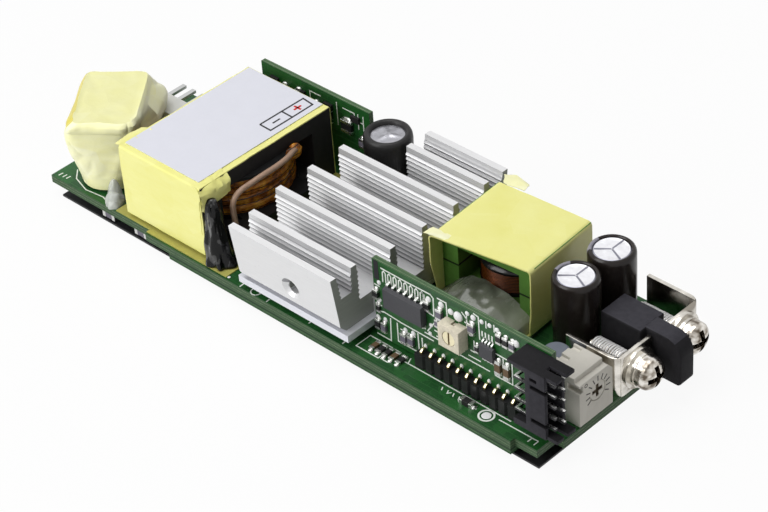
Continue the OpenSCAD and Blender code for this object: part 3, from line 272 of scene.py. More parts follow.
def board_finish(name, axis, low, high, edge_painted_light=1.0, tones=((44, 74, 44), (88, 116, 82)), gap_shade_depth=0.0):
    """Green lacquer over copper, with bare laminate in layers at the cut edges between the two faces. The
    edges are darkened by a factor, painted shade, and a band of that depth below the upper face is darker
    still: a painted shadow in the gap under the board above."""
    mat, p, shader = surface(name, srgb(30, 84, 34), 0.34, Specular_IOR_Level=0.3)
    flat = place_of(p, turn=(0, 0, 0) if axis == "z" else (math.radians(90), 0, 0))
    cells = p.node("ShaderNodeTexVoronoi", {"Vector": flat, "Scale": 0.36}, out=1, distance="CHEBYCHEV")
    pour = p.node("ShaderNodeSeparateColor", {0: cells}) > 0.42
    track = p.node("ShaderNodeTexBrick", {"Vector": flat, "Scale": 0.55, "Mortar Size": 0.035,
        "Brick Width": 1.7, "Row Height": 0.62, "Mortar Smooth": 0.2}, out=1)
    haze = cloud(p, flat, 3.0, 4)
    copper = p.math("MAXIMUM", pour * 0.55, track * 0.8)
    face = mixed(p, copper, srgb(17, 62, 26), srgb(31, 88, 36))
    face = mixed(p, haze * 0.3, face, srgb(52, 110, 54))
    depth = axis_of(p, axis)
    cut = (depth > low + 0.02) * (depth < high - 0.02)
    weave = cloud(p, place_of(p, (0.4, 0.4, 5) if axis == "z" else (0.4, 5, 0.4)), 0.5, 3)
    ply = p.math("FRACT", depth * 1.7 + weave * 0.16)
    # The cut edges' tones are scaled by a factor below one: painted shade.
    edge = mixed(p, weave, *[tuple(c * edge_painted_light for c in srgb(*tone)) for tone in tones])
    edge = mixed(p, (ply > 0.8) * 0.75, edge, srgb(30, 50, 30))
    edge = mixed(p, (ply < 0.12) * weave * edge_painted_light, edge, srgb(170, 190, 150))
    # A painted shadow in the gap under the board above.
    edge = mixed(p, (depth > high - gap_shade_depth) * 0.75, edge, srgb(20, 40, 22))
    feed(shader, p, Base_Color=mixed(p, cut, face, edge), Roughness=0.3 + cut * 0.3 + haze * 0.1,
        Normal=relief(p, copper * (1 - cut) + weave * cut * 0.6, 0.03))
    return mat


board_lo, board_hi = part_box("main_board")
corner = Vector((board_lo.x, board_lo.y, board_hi.z))


def spot(x, y, z=0.0):
    """A point measured in millimetres from the main board's near left corner, on its top face."""
    return corner + Vector((x, y, z)) * mm


def board_mm(point, axis):
    """How far a point lies from that corner along an axis, in millimetres."""
    return (getattr(point, axis) - getattr(corner, axis)) * 1000


lower_lo, lower_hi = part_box("lower_board")
# The main board's cut edges are darkened as painted shade, the lower board's more, with a painted shadow
# along its top below the main board.
paint(board_finish("board_lacquer", "z", board_lo.z * 1000, board_hi.z * 1000, 0.75), "main_board")
paint(board_finish("lower_board_lacquer", "z", lower_lo.z * 1000, lower_hi.z * 1000, 0.5,
    ((30, 78, 34), (76, 128, 76)), 0.4), "lower_board")
paint(finish("black_film", srgb(26, 26, 28), 0.45, depth=0.02), "insulating_film")
paint(finish("pad_foam", srgb(190, 188, 180), 0.85, depth=0.08, grain=0.4), "film_pads")


# White ink printed on the boards: part outlines, rings, ticks and short strokes, about a fifth of
# a millimetre wide and hardly thicker than the lacquer.
def mesh_of(bm, name, outward=True):
    """A mesh from a shape that is built, its faces turned outward unless they already look so."""
    if outward:
        bmesh.ops.recalc_face_normals(bm, faces=bm.faces)
    mesh = bpy.data.meshes.new(name)
    bm.to_mesh(mesh)
    bm.free()
    return mesh


def made(name, shape, mats, slot, smooth=None, body="module", stands_for=()):
    """Puts a built shape or a finished mesh in the module and on its body."""
    mesh = mesh_of(shape, name) if isinstance(shape, bmesh.types.BMesh) else shape
    obj = bpy.data.objects.new(name, mesh)
    scene.collection.objects.link(obj)
    for mat in mats:
        mesh.materials.append(mat)
    if smooth is not None:
        mesh.polygons.foreach_set("use_smooth", [True] * len(mesh.polygons))
        mesh.set_sharp_from_angle(angle=math.radians(smooth))
    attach(obj, body)
    if stands_for:
        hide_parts(*stands_for)


def stroke(bm, points, up, width, thick=0.03, closed=False):
    """A printed line along points: one flat strip with mitred corners."""
    count = len(points)
    rungs = []
    for i, here in enumerate(points):
        ways = []
        if i or closed:
            ways.append((here - points[i - 1]).normalized())
        if i < count - 1 or closed:
            ways.append((points[(i + 1) % count] - here).normalized())
        side = up.cross(ways[0] + ways[-1]).normalized()
        side *= width * 0.0005 / max(0.4, side.dot(up.cross(ways[-1])))
        low, top = up * -0.000005, up * (thick * mm)
        rungs.append([bm.verts.new(here + step) for step in (low - side, low + side, top + side, top - side)])
    for a, b in zip(rungs, rungs[1:] + rungs[:1]) if closed else zip(rungs, rungs[1:]):
        for k in range(4):
            bm.faces.new((a[k], a[k - 3], b[k - 3], b[k]))
    if not closed:
        bm.faces.new(rungs[0])
        bm.faces.new(rungs[-1][::-1])


def strokes(bm, paths, at, up, width, thick=0.03):
    """Printed lines along several paths, whose points a function puts in place."""
    for path in paths:
        stroke(bm, [at(*point) for point in path], up, width, thick)


def circle(centre, radius, up, count=28):
    """Points of a circle round a centre."""
    side = up.orthogonal().normalized()
    other = up.cross(side)
    turn = [math.radians(360 * i / count) for i in range(count)]
    return [centre + (side * math.cos(t) + other * math.sin(t)) * (radius * mm) for t in turn]


ink = finish("white_ink", srgb(226, 230, 224), 0.55, depth=0.006)
up_z = Vector((0, 0, 1))
hair, outline, tick, ring_line = 0.2, 0.22, 0.24, 0.32
bm = bmesh.new()
strokes(bm, [[(2.6, 5.2), (4.6, 3.2), (8.6, 2.0), (12.8, 2.5), (15.9, 1.7), (17.4, 1.6)]],
    spot, up_z, outline)
stroke(bm, circle(spot(54.5, 0.95), 0.95, up_z), up_z, outline, closed=True)
stroke(bm, circle(spot(106.6, 2.2), 1.3, up_z, 32), up_z, ring_line, closed=True)
strokes(bm, [[(x, y0), (x - 0.1, y1)] for x, y0, y1 in (
    (51.3, 0.1, 1.9), (57.9, 0.1, 0.95), (67.7, 0.6, 1.5), (75.9, 0.4, 1.6))], spot, up_z, tick)
strokes(bm, [[(x, y - 0.5), (x + 0.1, y + 0.5)] for x, y in ((1.2, 2.3), (2.2, 2.4), (3.1, 2.5))],
    spot, up_z, tick)
for x0, y0, x1, y1 in ((78.0, 1.5, 83.1, 4.95), (83.55, 1.7, 85.05, 4.9)):
    stroke(bm, [spot(x0, y0), spot(x1, y0), spot(x1, y1), spot(x0, y1)], up_z, hair, closed=True)
strokes(bm, ([(86.4, 3.6), (88.6, 3.65), (110.6, 3.65)], [(87.4, 4.9), (87.9, 3.65)],
    [(108.8, 2.75), (117.1, 2.85)], [(115.8, 2.85), (115.8, 1.7)], [(117.1, 2.85), (117.1, 1.7)]),
    spot, up_z, hair)
first_mark, mark_pitch = 96.4, 1.25
for i in range(7):
    x = first_mark + i * mark_pitch
    strokes(bm, [[(x, 2.9), (x + 0.35, 2.2), (x + 0.8, 2.8)][: 2 + i % 2]], spot, up_z, hair)
made("board_ink", bm, [ink], "white_label")


# Plated holes and tinned lands in the boards: copper drilled, plated and dipped in tin, which
# sets in low domes. Rows of them come from one geometry node tree.
def plain(host):
    """What an object shows, modifiers and all, as a plain mesh. The object itself is taken away."""
    scene.collection.objects.link(host)
    mesh = bpy.data.meshes.new_from_object(host.evaluated_get(bpy.context.evaluated_depsgraph_get()))
    bpy.data.objects.remove(host)
    return mesh


class Grown:
    """A geometry node tree with named inputs that ends in plain, painted mesh."""

    def __init__(self, name, **inputs):
        self.tree = bpy.data.node_groups.new(name, "GeometryNodeTree")
        self.ids = {}
        for key, kind in inputs.items():
            socket = self.tree.interface.new_socket(name=key, in_out="INPUT", socket_type="NodeSocket" + kind)
            self.ids[key] = socket.identifier
        self.tree.interface.new_socket(name="Geometry", in_out="OUTPUT", socket_type="NodeSocketGeometry")
        self.start = self.tree.nodes.new("NodeGroupInput")
        self.p = Paint(self.tree)

    def take(self, key):
        """The input of that name."""
        return Paint(self.tree, self.start.outputs[key])

    def end(self, shape):
        """Makes the shape real, paints it and hands it out."""
        whole = self.p.node("GeometryNodeRealizeInstances", {0: shape})
        coloured = self.p.node("GeometryNodeSetMaterial", {0: whole, "Material": self.take("Finish")})
        self.tree.links.new(coloured.socket, self.tree.nodes.new("NodeGroupOutput").inputs[0])

    def mesh(self, name, place, **values):
        """Runs the tree with these values and returns its result as a plain mesh, put in place."""
        host = bpy.data.objects.new(name, bpy.data.meshes.new(name))
        modifier = host.modifiers.new("grow", "NODES")
        modifier.node_group = self.tree
        for key, value in values.items():
            modifier[self.ids[key]] = value
        mesh = plain(host)
        mesh.transform(place)
        return mesh


tin = finish("bright_tin", srgb(205, 205, 202), 0.28, 1.0, tint=0.2, patch=0.7, grain=0.25, depth=0.03)
beads = Grown("bead_row", Count="Int", Pitch="Vector", Size="Vector", Finish="Material")
row = beads.p.node("GeometryNodeMeshLine", {"Count": beads.take("Count"), "Offset": beads.take("Pitch")})
ball = beads.p.node("GeometryNodeMeshIcoSphere", {"Radius": 0.0005, "Subdivisions": 3})
ball = beads.p.node("GeometryNodeSetShadeSmooth", {0: ball})
beads.end(beads.p.node("GeometryNodeInstanceOnPoints", {0: row, 2: ball, "Scale": beads.take("Size")}))


def domes(at, size, count=1, pitch=0.0):
    """Tin in a row towards the output end: where the first dome sits, its size and the pitch in
    millimetres."""
    return beads.mesh("domes", Matrix.Translation(at), Count=count, Pitch=(pitch / 1000, 0, 0), Size=size,
        Finish=tin)


def joined(name, meshes):
    """One mesh from several."""
    bm = bmesh.new()
    for mesh in meshes:
        bm.from_mesh(mesh)
        bpy.data.meshes.remove(mesh)
    return mesh_of(bm, name, outward=False)


lands = [domes(spot(x, y), (wide, wide, 0.12), count, pitch) for x, y, count, pitch, wide in (
    (46.5, 0.75, 2, 1.4, 0.6), (106.6, 2.2, 1, 1.0, 1.7), (56.8, 1.6, 2, 1.2, 0.6),
    (3.0, 30.0, 4, 2.6, 0.6), (110.5, 39.6, 4, 2.0, 0.6))]
made("plated_holes", joined("plated_holes", lands), [], "tinned_metal")


# Chip parts: sintered ceramic blocks with tinned ends, soldered flat to the boards by their ends.
# Each has rounded edges and a fillet of solder at either foot.
def block(bm, lo, hi, soft=0.0, index=0):
    """A block between two corners in metres, its edges rounded by soft millimetres."""
    lo, hi = Vector(lo), Vector(hi)
    before = set(bm.faces)
    cube = bmesh.ops.create_cube(bm, size=1.0, matrix=Matrix.LocRotScale((lo + hi) / 2, None, hi - lo))
    if soft:
        edges = list({e for v in cube["verts"] for e in v.link_edges})
        bmesh.ops.bevel(bm, geom=edges, offset=soft / 1000, segments=2, profile=0.6, affect="EDGES")
    for f in bm.faces:
        if f not in before:
            f.material_index = index


chip_finishes = [finish(name, colour, rough, tint=0.2, patch=0.6) for name, colour, rough in (
    ("chip_ceramic", srgb(96, 76, 54), 0.5), ("chip_grey", srgb(104, 100, 112), 0.5),
    ("chip_black", srgb(28, 27, 28), 0.42))] + [tin]
brown, grey, black, tinned = range(4)


def chip(bm, centre, run, across, out, length, width, high, kind):
    """A chip part: its body along run, its tinned ends and the solder at their feet."""
    def corners(a0, a1, b0, b1, c0, c1):
        p = centre + (run * a0 + across * b0 + out * c0) * mm
        q = centre + (run * a1 + across * b1 + out * c1) * mm
        return [min(u, v) for u, v in zip(p, q)], [max(u, v) for u, v in zip(p, q)]
    l, w = length / 2, width / 2
    cap = length * 0.24
    block(bm, *corners(-l + cap * 0.6, l - cap * 0.6, -w * 0.96, w * 0.96, 0.02, high * 0.96), 0.04, kind)
    for s in (-1, 1):
        block(bm, *corners(s * (l - cap), s * l, -w, w, 0.0, high), 0.07, tinned)
        foot = centre + run * (s * (l + 0.12) * mm)
        ball = bmesh.ops.create_icosphere(bm, subdivisions=2, radius=1.0, matrix=Matrix.Translation(foot))
        shape = [mm * (abs(run[i]) * 0.34 + abs(across[i]) * w * 0.95 + abs(out[i]) * high * 0.6)
            for i in range(3)]
        for v in ball["verts"]:
            v.co = foot + Vector([(v.co[i] - foot[i]) * shape[i] for i in range(3)])
            for f in v.link_faces:
                f.material_index = tinned
                f.smooth = True


east, north, south = Vector((1, 0, 0)), Vector((0, 1, 0)), Vector((0, -1, 0))
first_chip, chip_pitch = 80.7, 1.5
bm = bmesh.new()
for i, kind in enumerate((brown, black, black, brown, black)):
    chip(bm, spot(first_chip + i * chip_pitch, 3.3), north, east, up_z, 2.3, 1.0, 0.6, kind)
chip(bm, spot(102.4, 2.3), east, north, up_z, 2.7, 1.3, 0.95, black)
made("board_chip_parts", bm, chip_finishes, "chip_ceramic", stands_for=("board_chips",))
under_lo, under_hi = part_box("under_chips")
under_y = (under_lo.y + under_hi.y) / 2
under_long = 3.2
under_half = under_long / 2 * mm
bm = bmesh.new()
for x in (under_lo.x + under_half, under_hi.x - under_half):
    chip(bm, Vector((x, under_y, under_hi.z)), east, north, -up_z, under_long, 1.6, 1.5, grey)
made("under_chip_parts", bm, chip_finishes, "chip_ceramic", stands_for=("under_chips",))


# The input choke: a ring core with windings, bound all over in pale yellow polyester tape whose
# laps crease and whose ends are pressed flat. Clear sealant holds its foot.
def tape_finish(name, colour, deep, laps=0.25, crush=0.0):
    """Thin glossy polyester tape, paler where it stands off, deeper where laps double it and creased
    where it was pressed on by hand."""
    mat, p, shader = surface(name, colour, 0.3, Specular_IOR_Level=0.35, Coat_Weight=0.15,
        Coat_Roughness=0.15)
    at = place_of(p)
    folds = cloud(p, place_of(p, (0.5, 0.5, 1.6)), 2.4, 4, 0.55)
    dust = cloud(p, at, 0.3, 2)
    cells = p.node("ShaderNodeTexVoronoi", {"Vector": at, "Scale": 0.16}, out=1)
    lap = p.node("ShaderNodeSeparateColor", {0: cells})
    pressed = place_of(p, (1, 1, 0.55), (0, 0.4, 0.5))
    crease = p.node("ShaderNodeTexVoronoi", {"Vector": pressed, "Scale": 0.3})
    tone = p.math("MINIMUM", folds * 0.8 + lap * laps, 1.0)
    feed(shader, p, Base_Color=mixed(p, tone, deep, colour), Roughness=0.22 + dust * 0.2,
        Normal=relief(p, folds + dust * 0.06 + crease * crush, 0.12, 0.8))
    return mat


def skinned(bm, rings, pick=lambda level, step: 0, caps=True):
    """A skin from ring to ring, closed across the first and the last. A face's level and its step
    round the ring pick its finish by number."""
    for level, (low, top) in enumerate(zip(rings, rings[1:])):
        for i in range(len(low)):
            j = (i + 1) % len(low)
            bm.faces.new((low[i], low[j], top[j], top[i])).material_index = pick(level, i)
    if caps:
        bm.faces.new(rings[0][::-1]).material_index = pick(0, 0)
        bm.faces.new(rings[-1]).material_index = pick(len(rings) - 1, 0)


pale_tape = tape_finish("pale_tape", srgb(255, 255, 218), srgb(252, 249, 172), 0.4, 2.2)
# The lid's tape is a darker copy of the side's: painted shade on the top.
shaded_lid_tape = tape_finish("shaded_lid_tape", srgb(244, 243, 194), srgb(233, 230, 148), 0.4, 1.4)
lapped_tape = tape_finish("lapped_tape", srgb(226, 214, 104), srgb(198, 182, 48))
choke_lo, choke_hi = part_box("input_choke_tape")
choke_mid = (choke_lo + choke_hi) / 2
choke_top = Vector((choke_mid.x, choke_mid.y, choke_hi.z))
choke_turn = Matrix.Rotation(math.radians(38), 3, "Z")
half_wide, half_long, choke_tall = 6.15, 8.05, 15.0
around, levels, lid_steps = 144, 44, 9
lapped_from, pleats_from, lid_dip = 36, 0.84, 0.00012
bm = bmesh.new()
rings = []
for level in range(levels + 1):
    share = level / levels
    square = 2.4 + 7.6 * min(share / 0.85, 1) ** 2
    swell = 0.8 * math.sin(math.pi * min(share, 0.9) / 1.8)
    shrink = 1 - 0.05 * max(0, (share - 0.95) / 0.05) ** 2
    lift = math.exp(-((share - 0.68) / 0.18) ** 2)
    middle = Vector((choke_mid.x, choke_mid.y, choke_lo.z + share * (choke_hi.z - choke_lo.z)))
    ring = []
    for i in range(around):
        t = 2 * math.pi * i / around
        c, d = math.cos(t), math.sin(t)
        x = (half_wide + swell) * shrink * math.copysign(abs(c) ** (2 / square), c)
        y = (half_long + swell) * shrink * math.copysign(abs(d) ** (2 / square), d)
        if x < 0:
            x *= 1 - 0.24 * max(0, (share - 0.8) / 0.2) ** 1.2
        bearing = math.atan2(y, x) - 0.5
        loose = math.cos(bearing * 1.35) if abs(bearing) < 1.16 else 0
        here = Vector((x, y, share * choke_tall))
        near, _ = noise.voronoi(here * 0.19 + Vector((3.1, 0.4, 7.7)))
        fold = 0.6 * (1 - math.exp(-3.5 * (near[1] - near[0]))) - 0.42
        fold += 0.16 * noise.noise(here * 0.5) + 0.05 * noise.noise(here * 1.7)
        if y < 0 and share > pleats_from:
            pleat = math.sin(math.pi * (share - pleats_from) / (1 - pleats_from))
            fold += 0.75 * abs((x / 4.6 + share + 0.2) % 1 * 2 - 1) * pleat
        push = 1 + (fold * min(1, 0.25 + share) + 3.6 * lift * loose ** 1.3) / math.hypot(x, y)
        ring.append(bm.verts.new(middle + choke_turn @ Vector((x * push, y * push, 0)) * mm))
    rings.append(ring)
rim = rings[-1]
for step in range(1, lid_steps):
    ring = []
    for v in rim:
        flat = v.co.lerp(choke_top, step / lid_steps)
        flat.z = choke_hi.z - lid_dip + lid_dip * noise.noise(flat * 350)
        ring.append(bm.verts.new(flat))
    rings.append(ring)


def wrap_finish(level, step):
    """The choke's side is pale and lapped over its left shoulder; its lid is a darker copy of the pale tape,
    painted shade on the top.
    """
    if level >= levels:
        return 2
    return int(level > lapped_from and math.cos(2 * math.pi * step / around) < -0.72)


skinned(bm, rings, wrap_finish)
made("input_choke_wrap", bm, [pale_tape, lapped_tape, shaded_lid_tape], "yellow_tape", 24,
    stands_for=("input_choke_tape", "input_choke_core"))
silicone = finish("clear_sealant", srgb(214, 218, 212), 0.14, tint=0.12, patch=1.2, grain=0.5, depth=0.03,
    Coat_Weight=0.4, Alpha=0.62)
seal_lo, seal_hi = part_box("choke_sealant")
seal_mid = (seal_lo + seal_hi) / 2
seal_half = (seal_hi - seal_lo) / 2
bm = bmesh.new()
for dx, dy, wide, tall, seed in (
    (0.0, 0.0, 1.05, 0.8, 0.0), (-0.9, 0.8, 0.85, 1.3, 4.0), (0.3, -0.6, 0.8, 0.5, 8.0)):
    for v in bmesh.ops.create_icosphere(bm, subdivisions=4, radius=1.0)["verts"]:
        way = v.co.copy()
        r = 1 + 0.16 * noise.noise(way * 1.5 + Vector((seed, 0, 0)))
        v.co = Vector((seal_mid.x + dx * mm + way.x * r * wide * seal_half.x,
            seal_mid.y + dy * mm + way.y * r * wide * seal_half.y,
            seal_lo.z + max(0.0, way.z * r) * tall * seal_half.z * 2))
made("choke_foot_sealant", bm, [silicone], "clear_sealant", 80, stands_for=("choke_sealant",))


# The mains inlet: a white nylon block moulded round flat tinned contacts. The contacts are stamped
# from sheet and show its fine lines.
paint(finish("white_nylon", srgb(232, 232, 228), 0.4, tint=0.05), "inlet_body")
paint(finish("tinned_contact", srgb(196, 197, 196), 0.3, 1.0, stretch=(1, 0.2, 1)), "inlet_pins")


# The transformer: two ferrite halves round a bobbin wound with wire and amber tape, held by a
# loop of yellow tape that carries a label. A thin olive sheet insulates it from the board.
def tape_loop(name, place, width, high, length, seed, stands_for, lip=lambda u, v: 0.0, corner_r=0.4):
    """A loop of tape round a block: its run follows a rounded rectangle, its edges wander a little, and
    its near edge reaches out by the lip at each place of the run."""
    thick, along = 0.25, 14
    around = []
    for cx, cy, start in ((width - corner_r, high - corner_r, 0), (corner_r, high - corner_r, 90),
            (corner_r, corner_r, 180), (width - corner_r, corner_r, 270)):
        for k in range(7):
            c, d = math.cos(math.radians(start + 15 * k)), math.sin(math.radians(start + 15 * k))
            around.append((cx + corner_r * c, cy + corner_r * d, c, d))
    run = []
    for a, b in zip(around, around[1:] + around[:1]):
        run.append(a)
        steps = int(math.hypot(b[0] - a[0], b[1] - a[1]) / 1.2)
        run += [tuple(u + (v - u) * (k / steps) for u, v in zip(a, b)) for k in range(1, steps)]
    bm = bmesh.new()
    grid = []
    for u, v, nu, nv in run:
        row = []
        for j in range(along + 1):
            f = j / along
            wander = noise.noise(Vector((u * 0.3 + seed, v * 0.3, 5.0 * round(f)))) * 0.22
            reach = f * length + (wander if j in (0, along) else 0) * (1 if f > 0.5 else -1)
            reach = min(max(reach, 0), length) - lip(u, v) * (1 - f) ** 3
            swell = noise.noise(Vector((u * 0.25, v * 0.25 + seed, f * length * 0.25))) * 0.05 - 0.05
            row.append([bm.verts.new(place @ (Vector((reach, u + nu * out, v + nv * out)) * mm))
                for out in (swell, swell - thick)])
        grid.append(row)
    for a, b in zip(grid, grid[1:] + grid[:1]):
        for j in range(along):
            bm.faces.new((a[j][0], a[j + 1][0], b[j + 1][0], b[j][0]))
            bm.faces.new((a[j][1], b[j][1], b[j + 1][1], a[j + 1][1]))
        bm.faces.new((a[0][0], b[0][0], b[0][1], a[0][1]))
        bm.faces.new((a[along][0], a[along][1], b[along][1], b[along][0]))
    made(name, bm, [tape], "yellow_tape", 40, stands_for=stands_for)


def sheet(bm, top, low):
    """Closes two grids of points, one over the other, into one thin piece."""
    n, m = len(top) - 1, len(top[0]) - 1
    for i in range(n):
        for j in range(m):
            bm.faces.new((top[i][j], top[i + 1][j], top[i + 1][j + 1], top[i][j + 1]))
            bm.faces.new((low[i][j], low[i][j + 1], low[i + 1][j + 1], low[i + 1][j]))
    rim = [(i, 0) for i in range(n)] + [(n, j) for j in range(m)]
    rim += [(n - i, m - j) for i, j in rim]
    for (i, j), (k, l) in zip(rim, rim[1:] + rim[:1]):
        bm.faces.new((top[i][j], low[i][j], low[k][l], top[k][l]))


def flap(bm, *rows):
    """A loose piece of tape: a grid of points in board millimetres, smoothed, a little creased."""
    thick, quarters = 0.1, (0, 0.25, 0.5, 0.75)
    fine = []
    for a, b in zip(rows, rows[1:] + rows[-1:]):
        for f in quarters if b is not a else (0,):
            line = [Vector(p).lerp(Vector(q), f) for p, q in zip(a, b)]
            fine.append([u.lerp(v, g) for u, v in zip(line, line[1:]) for g in quarters] + [line[-1]])
    for _ in range(3):
        held = [[v.copy() for v in row] for row in fine]
        for i in range(1, len(fine) - 1):
            for j in range(len(fine[0])):
                fine[i][j] = held[i][j] * 0.5 + (held[i - 1][j] + held[i + 1][j]) * 0.25

    def crumpled(v, lift):
        near, _ = noise.voronoi(v * 0.55)
        fold = 0.45 * math.exp(-3 * (near[1] - near[0]))
        wave = Vector([0.14 * noise.noise(v * 0.8 + Vector((k * 9, 0, 0))) for k in range(3)])
        return bm.verts.new(spot(*(v + wave - Vector((fold, 0, lift + fold * 0.3)))))
    sheet(bm, *[[[crumpled(v, lift) for v in row] for row in fine] for lift in (0.0, thick)])


tape = tape_finish("yellow_tape", srgb(246, 244, 166), srgb(234, 230, 126))
tape_lo, tape_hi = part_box("transformer_tape")
size = (tape_hi - tape_lo) * 1000
tape_loop("transformer_wrap", Matrix.Translation(tape_lo), size.y, size.z, size.x, 3.0, ("transformer_tape",))
bm = bmesh.new()
flap(bm, [(40.2, 1.4, 15.7), (40.2, 4.0, 15.7), (40.2, 6.1, 15.7), (40.2, 8.2, 15.7)],
    [(41.5, 1.35, 15.6), (41.6, 4.0, 15.7), (41.6, 6.1, 15.7), (41.5, 8.2, 15.6)],
    [(42.4, 1.35, 14.7), (43.2, 3.9, 14.9), (43.3, 6.0, 14.9), (43.1, 8.0, 14.7)],
    [(42.3, 1.6, 12.9), (43.2, 3.8, 13.2), (43.4, 5.8, 13.5), (43.2, 7.8, 13.6)],
    [(42.1, 1.6, 10.8), (42.8, 3.4, 11.8), (43.2, 5.6, 12.2), (43.1, 7.6, 12.5)])
flap(bm, [(41.7, 1.3, 13.0), (42.6, 2.9, 12.2)], [(41.7, 1.35, 10.5), (42.3, 2.4, 10.0)],
    [(41.65, 1.4, 8.2), (42.0, 2.0, 8.0)], [(41.6, 1.45, 5.8), (41.75, 1.75, 5.8)])
flap(bm, [(22.2, 2.0, 15.72), (22.2, 5.2, 15.72), (22.2, 8.6, 15.72)],
    [(21.0, 1.8, 15.75), (21.0, 5.2, 15.8), (21.0, 8.6, 15.75)],
    [(20.0, 1.9, 15.5), (19.8, 5.0, 15.6), (20.1, 8.2, 15.5)])
made("transformer_tape_ends", bm, [tape], "yellow_tape", 26)
paint(finish("olive_sheet", srgb(172, 167, 88), 0.4, tint=0.2, patch=1.6, depth=0.03), "insulating_sheet")
ferrite = finish("ferrite", srgb(40, 39, 39), 0.55, tint=0.3, patch=0.8, depth=0.03, Specular_IOR_Level=0.15)
paint(ferrite, "transformer_core_lower", "transformer_core_upper")
paint(finish("bobbin_black", srgb(22, 22, 23), 0.35, depth=0.03, Specular_IOR_Level=0.2),
    "transformer_bobbin")
paint(finish("label_film", srgb(222, 223, 232), 0.4, tint=0.03, patch=4.0, grain=0.5, depth=0.004),
    "transformer_label")
label_z = board_mm(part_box("transformer_label")[1], "z")
for name, mat, width, paths in (
    ("label_minus", finish("black_ink", srgb(30, 30, 32), 0.5), 0.34, (
        [(36.1, 21.7), (36.2, 27.0), (39.0, 26.9), (38.9, 21.6), (36.1, 21.7)],
        [(36.2, 27.0), (36.3, 32.3), (39.0, 32.0), (39.0, 26.9)], [(37.6, 23.4), (37.6, 25.2)])),
    ("label_plus", finish("red_ink", srgb(196, 44, 40), 0.5), 0.42, (
        [(37.6, 28.7), (37.6, 30.5)], [(36.75, 29.6), (38.45, 29.6)]))):
    bm = bmesh.new()
    strokes(bm, paths, lambda x, y: spot(x, y, label_z), up_z, width)
    made(name, bm, [mat], "white_label")


def evaluated(name, mesh, kind, **settings):
    """A mesh finished by a modifier of that kind."""
    host = bpy.data.objects.new(name, mesh)
    modifier = host.modifiers.new(kind, kind)
    for key, value in settings.items():
        setattr(modifier, key, value)
    return plain(host)


black_sealant, p, shader = surface("black_sealant", srgb(9, 9, 10), 0.1, Specular_IOR_Level=0.25,
    Coat_Roughness=0.04)
wet = cloud(p, place_of(p, (1, 1, 0.5)), 1.3, 2)
feed(shader, p, Coat_Weight=(wet > 0.54) * 1.0, Roughness=0.08 + wet * 0.08, Normal=relief(p, wet, 0.12))
drip_steps = 28
bm = bmesh.new()
rings = []
for z, x, y, rx, ry in (
    (0.0, 44.0, 2.75, 3.0, 2.5), (0.7, 44.0, 2.75, 3.0, 2.45), (2.0, 43.8, 2.75, 2.5, 2.2),
    (4.5, 43.4, 2.85, 2.1, 1.95), (7.0, 43.3, 2.95, 1.7, 1.7), (9.5, 43.2, 3.0, 1.6, 1.6),
    (11.4, 43.0, 3.1, 1.3, 1.4), (12.6, 42.7, 3.2, 0.9, 1.0), (13.2, 42.6, 3.2, 0.4, 0.5)):
    ring = []
    for i in range(drip_steps):
        t = 2 * math.pi * i / drip_steps
        bulge = 1 + 0.42 * noise.noise(Vector((math.cos(t) * 2.1, math.sin(t) * 2.1, z * 0.5)))
        ring.append(bm.verts.new(spot(x + rx * bulge * math.cos(t), y + ry * bulge * math.sin(t), z)))
    rings.append(ring)
skinned(bm, rings)
drip = evaluated("corner_drip", mesh_of(bm, "corner_drip"), "SUBSURF", levels=2, render_levels=2)
made("corner_drip", drip, [black_sealant], "black_sealant", 70, stands_for=("corner_sealant",))

amber, p, shader = surface("amber_tape", srgb(150, 92, 30), 0.22, Specular_IOR_Level=0.3, Coat_Weight=0.15,
    Coat_Roughness=0.08)
streak = cloud(p, place_of(p, (0.25, 0.25, 3.2)), 0.8, 4, 0.6)
patch = cloud(p, place_of(p), 2.2, 3)
# Dark lines at each layer's edge are painted shade, with darker streaks along the tape.
layer = p.math("FRACT", axis_of(p, "z") * 0.75 + patch * 0.5)
layer_shade_and_streaks = p.math("MINIMUM", (layer < 0.14) * 0.8 + streak * 0.35, 1.0)
# Random patches of amber whose brightest tones are painted highlights.
tone_and_highlights = patch.ramp((0.38, srgb(124, 66, 8)), (0.66, srgb(250, 180, 62)), (0.5, srgb(192, 112, 20)))
feed(shader, p, Base_Color=mixed(p, layer_shade_and_streaks, tone_and_highlights, srgb(34, 18, 5)), Roughness=0.16 + streak * 0.2,
    Normal=relief(p, streak, 0.2))
paint(amber, "transformer_winding")


# The fly lead: a stranded wire in a whitish sleeve, from the winding over the bobbin's flange and
# down to its rail, where it is soldered. A patch of amber tape holds its upper end.
lead_points = [(0.95, 24.0, 12.2), (1.7, 22.3, 12.7), (2.5, 20.0, 12.9), (2.8, 17.0, 12.9), (2.7, 14.0, 12.8),
    (2.5, 11.0, 12.5), (2.3, 9.0, 12.2), (2.2, 7.8, 11.6), (2.2, 7.0, 10.6), (2.1, 6.9, 9.0), (2.1, 7.0, 7.0),
    (2.05, 7.2, 4.65)]
lead_curve = bpy.data.curves.new("fly_lead_line", "CURVE")
lead_curve.dimensions = "3D"
lead_curve.bevel_depth = 0.00054
lead_curve.bevel_resolution = 4
lead_curve.resolution_u = 5
lead_curve.use_fill_caps = True
spline = lead_curve.splines.new("BEZIER")
spline.bezier_points.add(len(lead_points) - 1)
winding_x = board_mm(tape_hi, "x")
for point, (dx, y, z) in zip(spline.bezier_points, lead_points):
    point.co = spot(winding_x + dx, y, z)
    point.handle_left_type = point.handle_right_type = "AUTO"
lead_sleeve = finish("lead_sleeve", srgb(164, 134, 112), 0.3, tint=0.2, patch=0.8, Coat_Weight=0.3)
lead_host = bpy.data.objects.new("fly_lead_host", lead_curve)
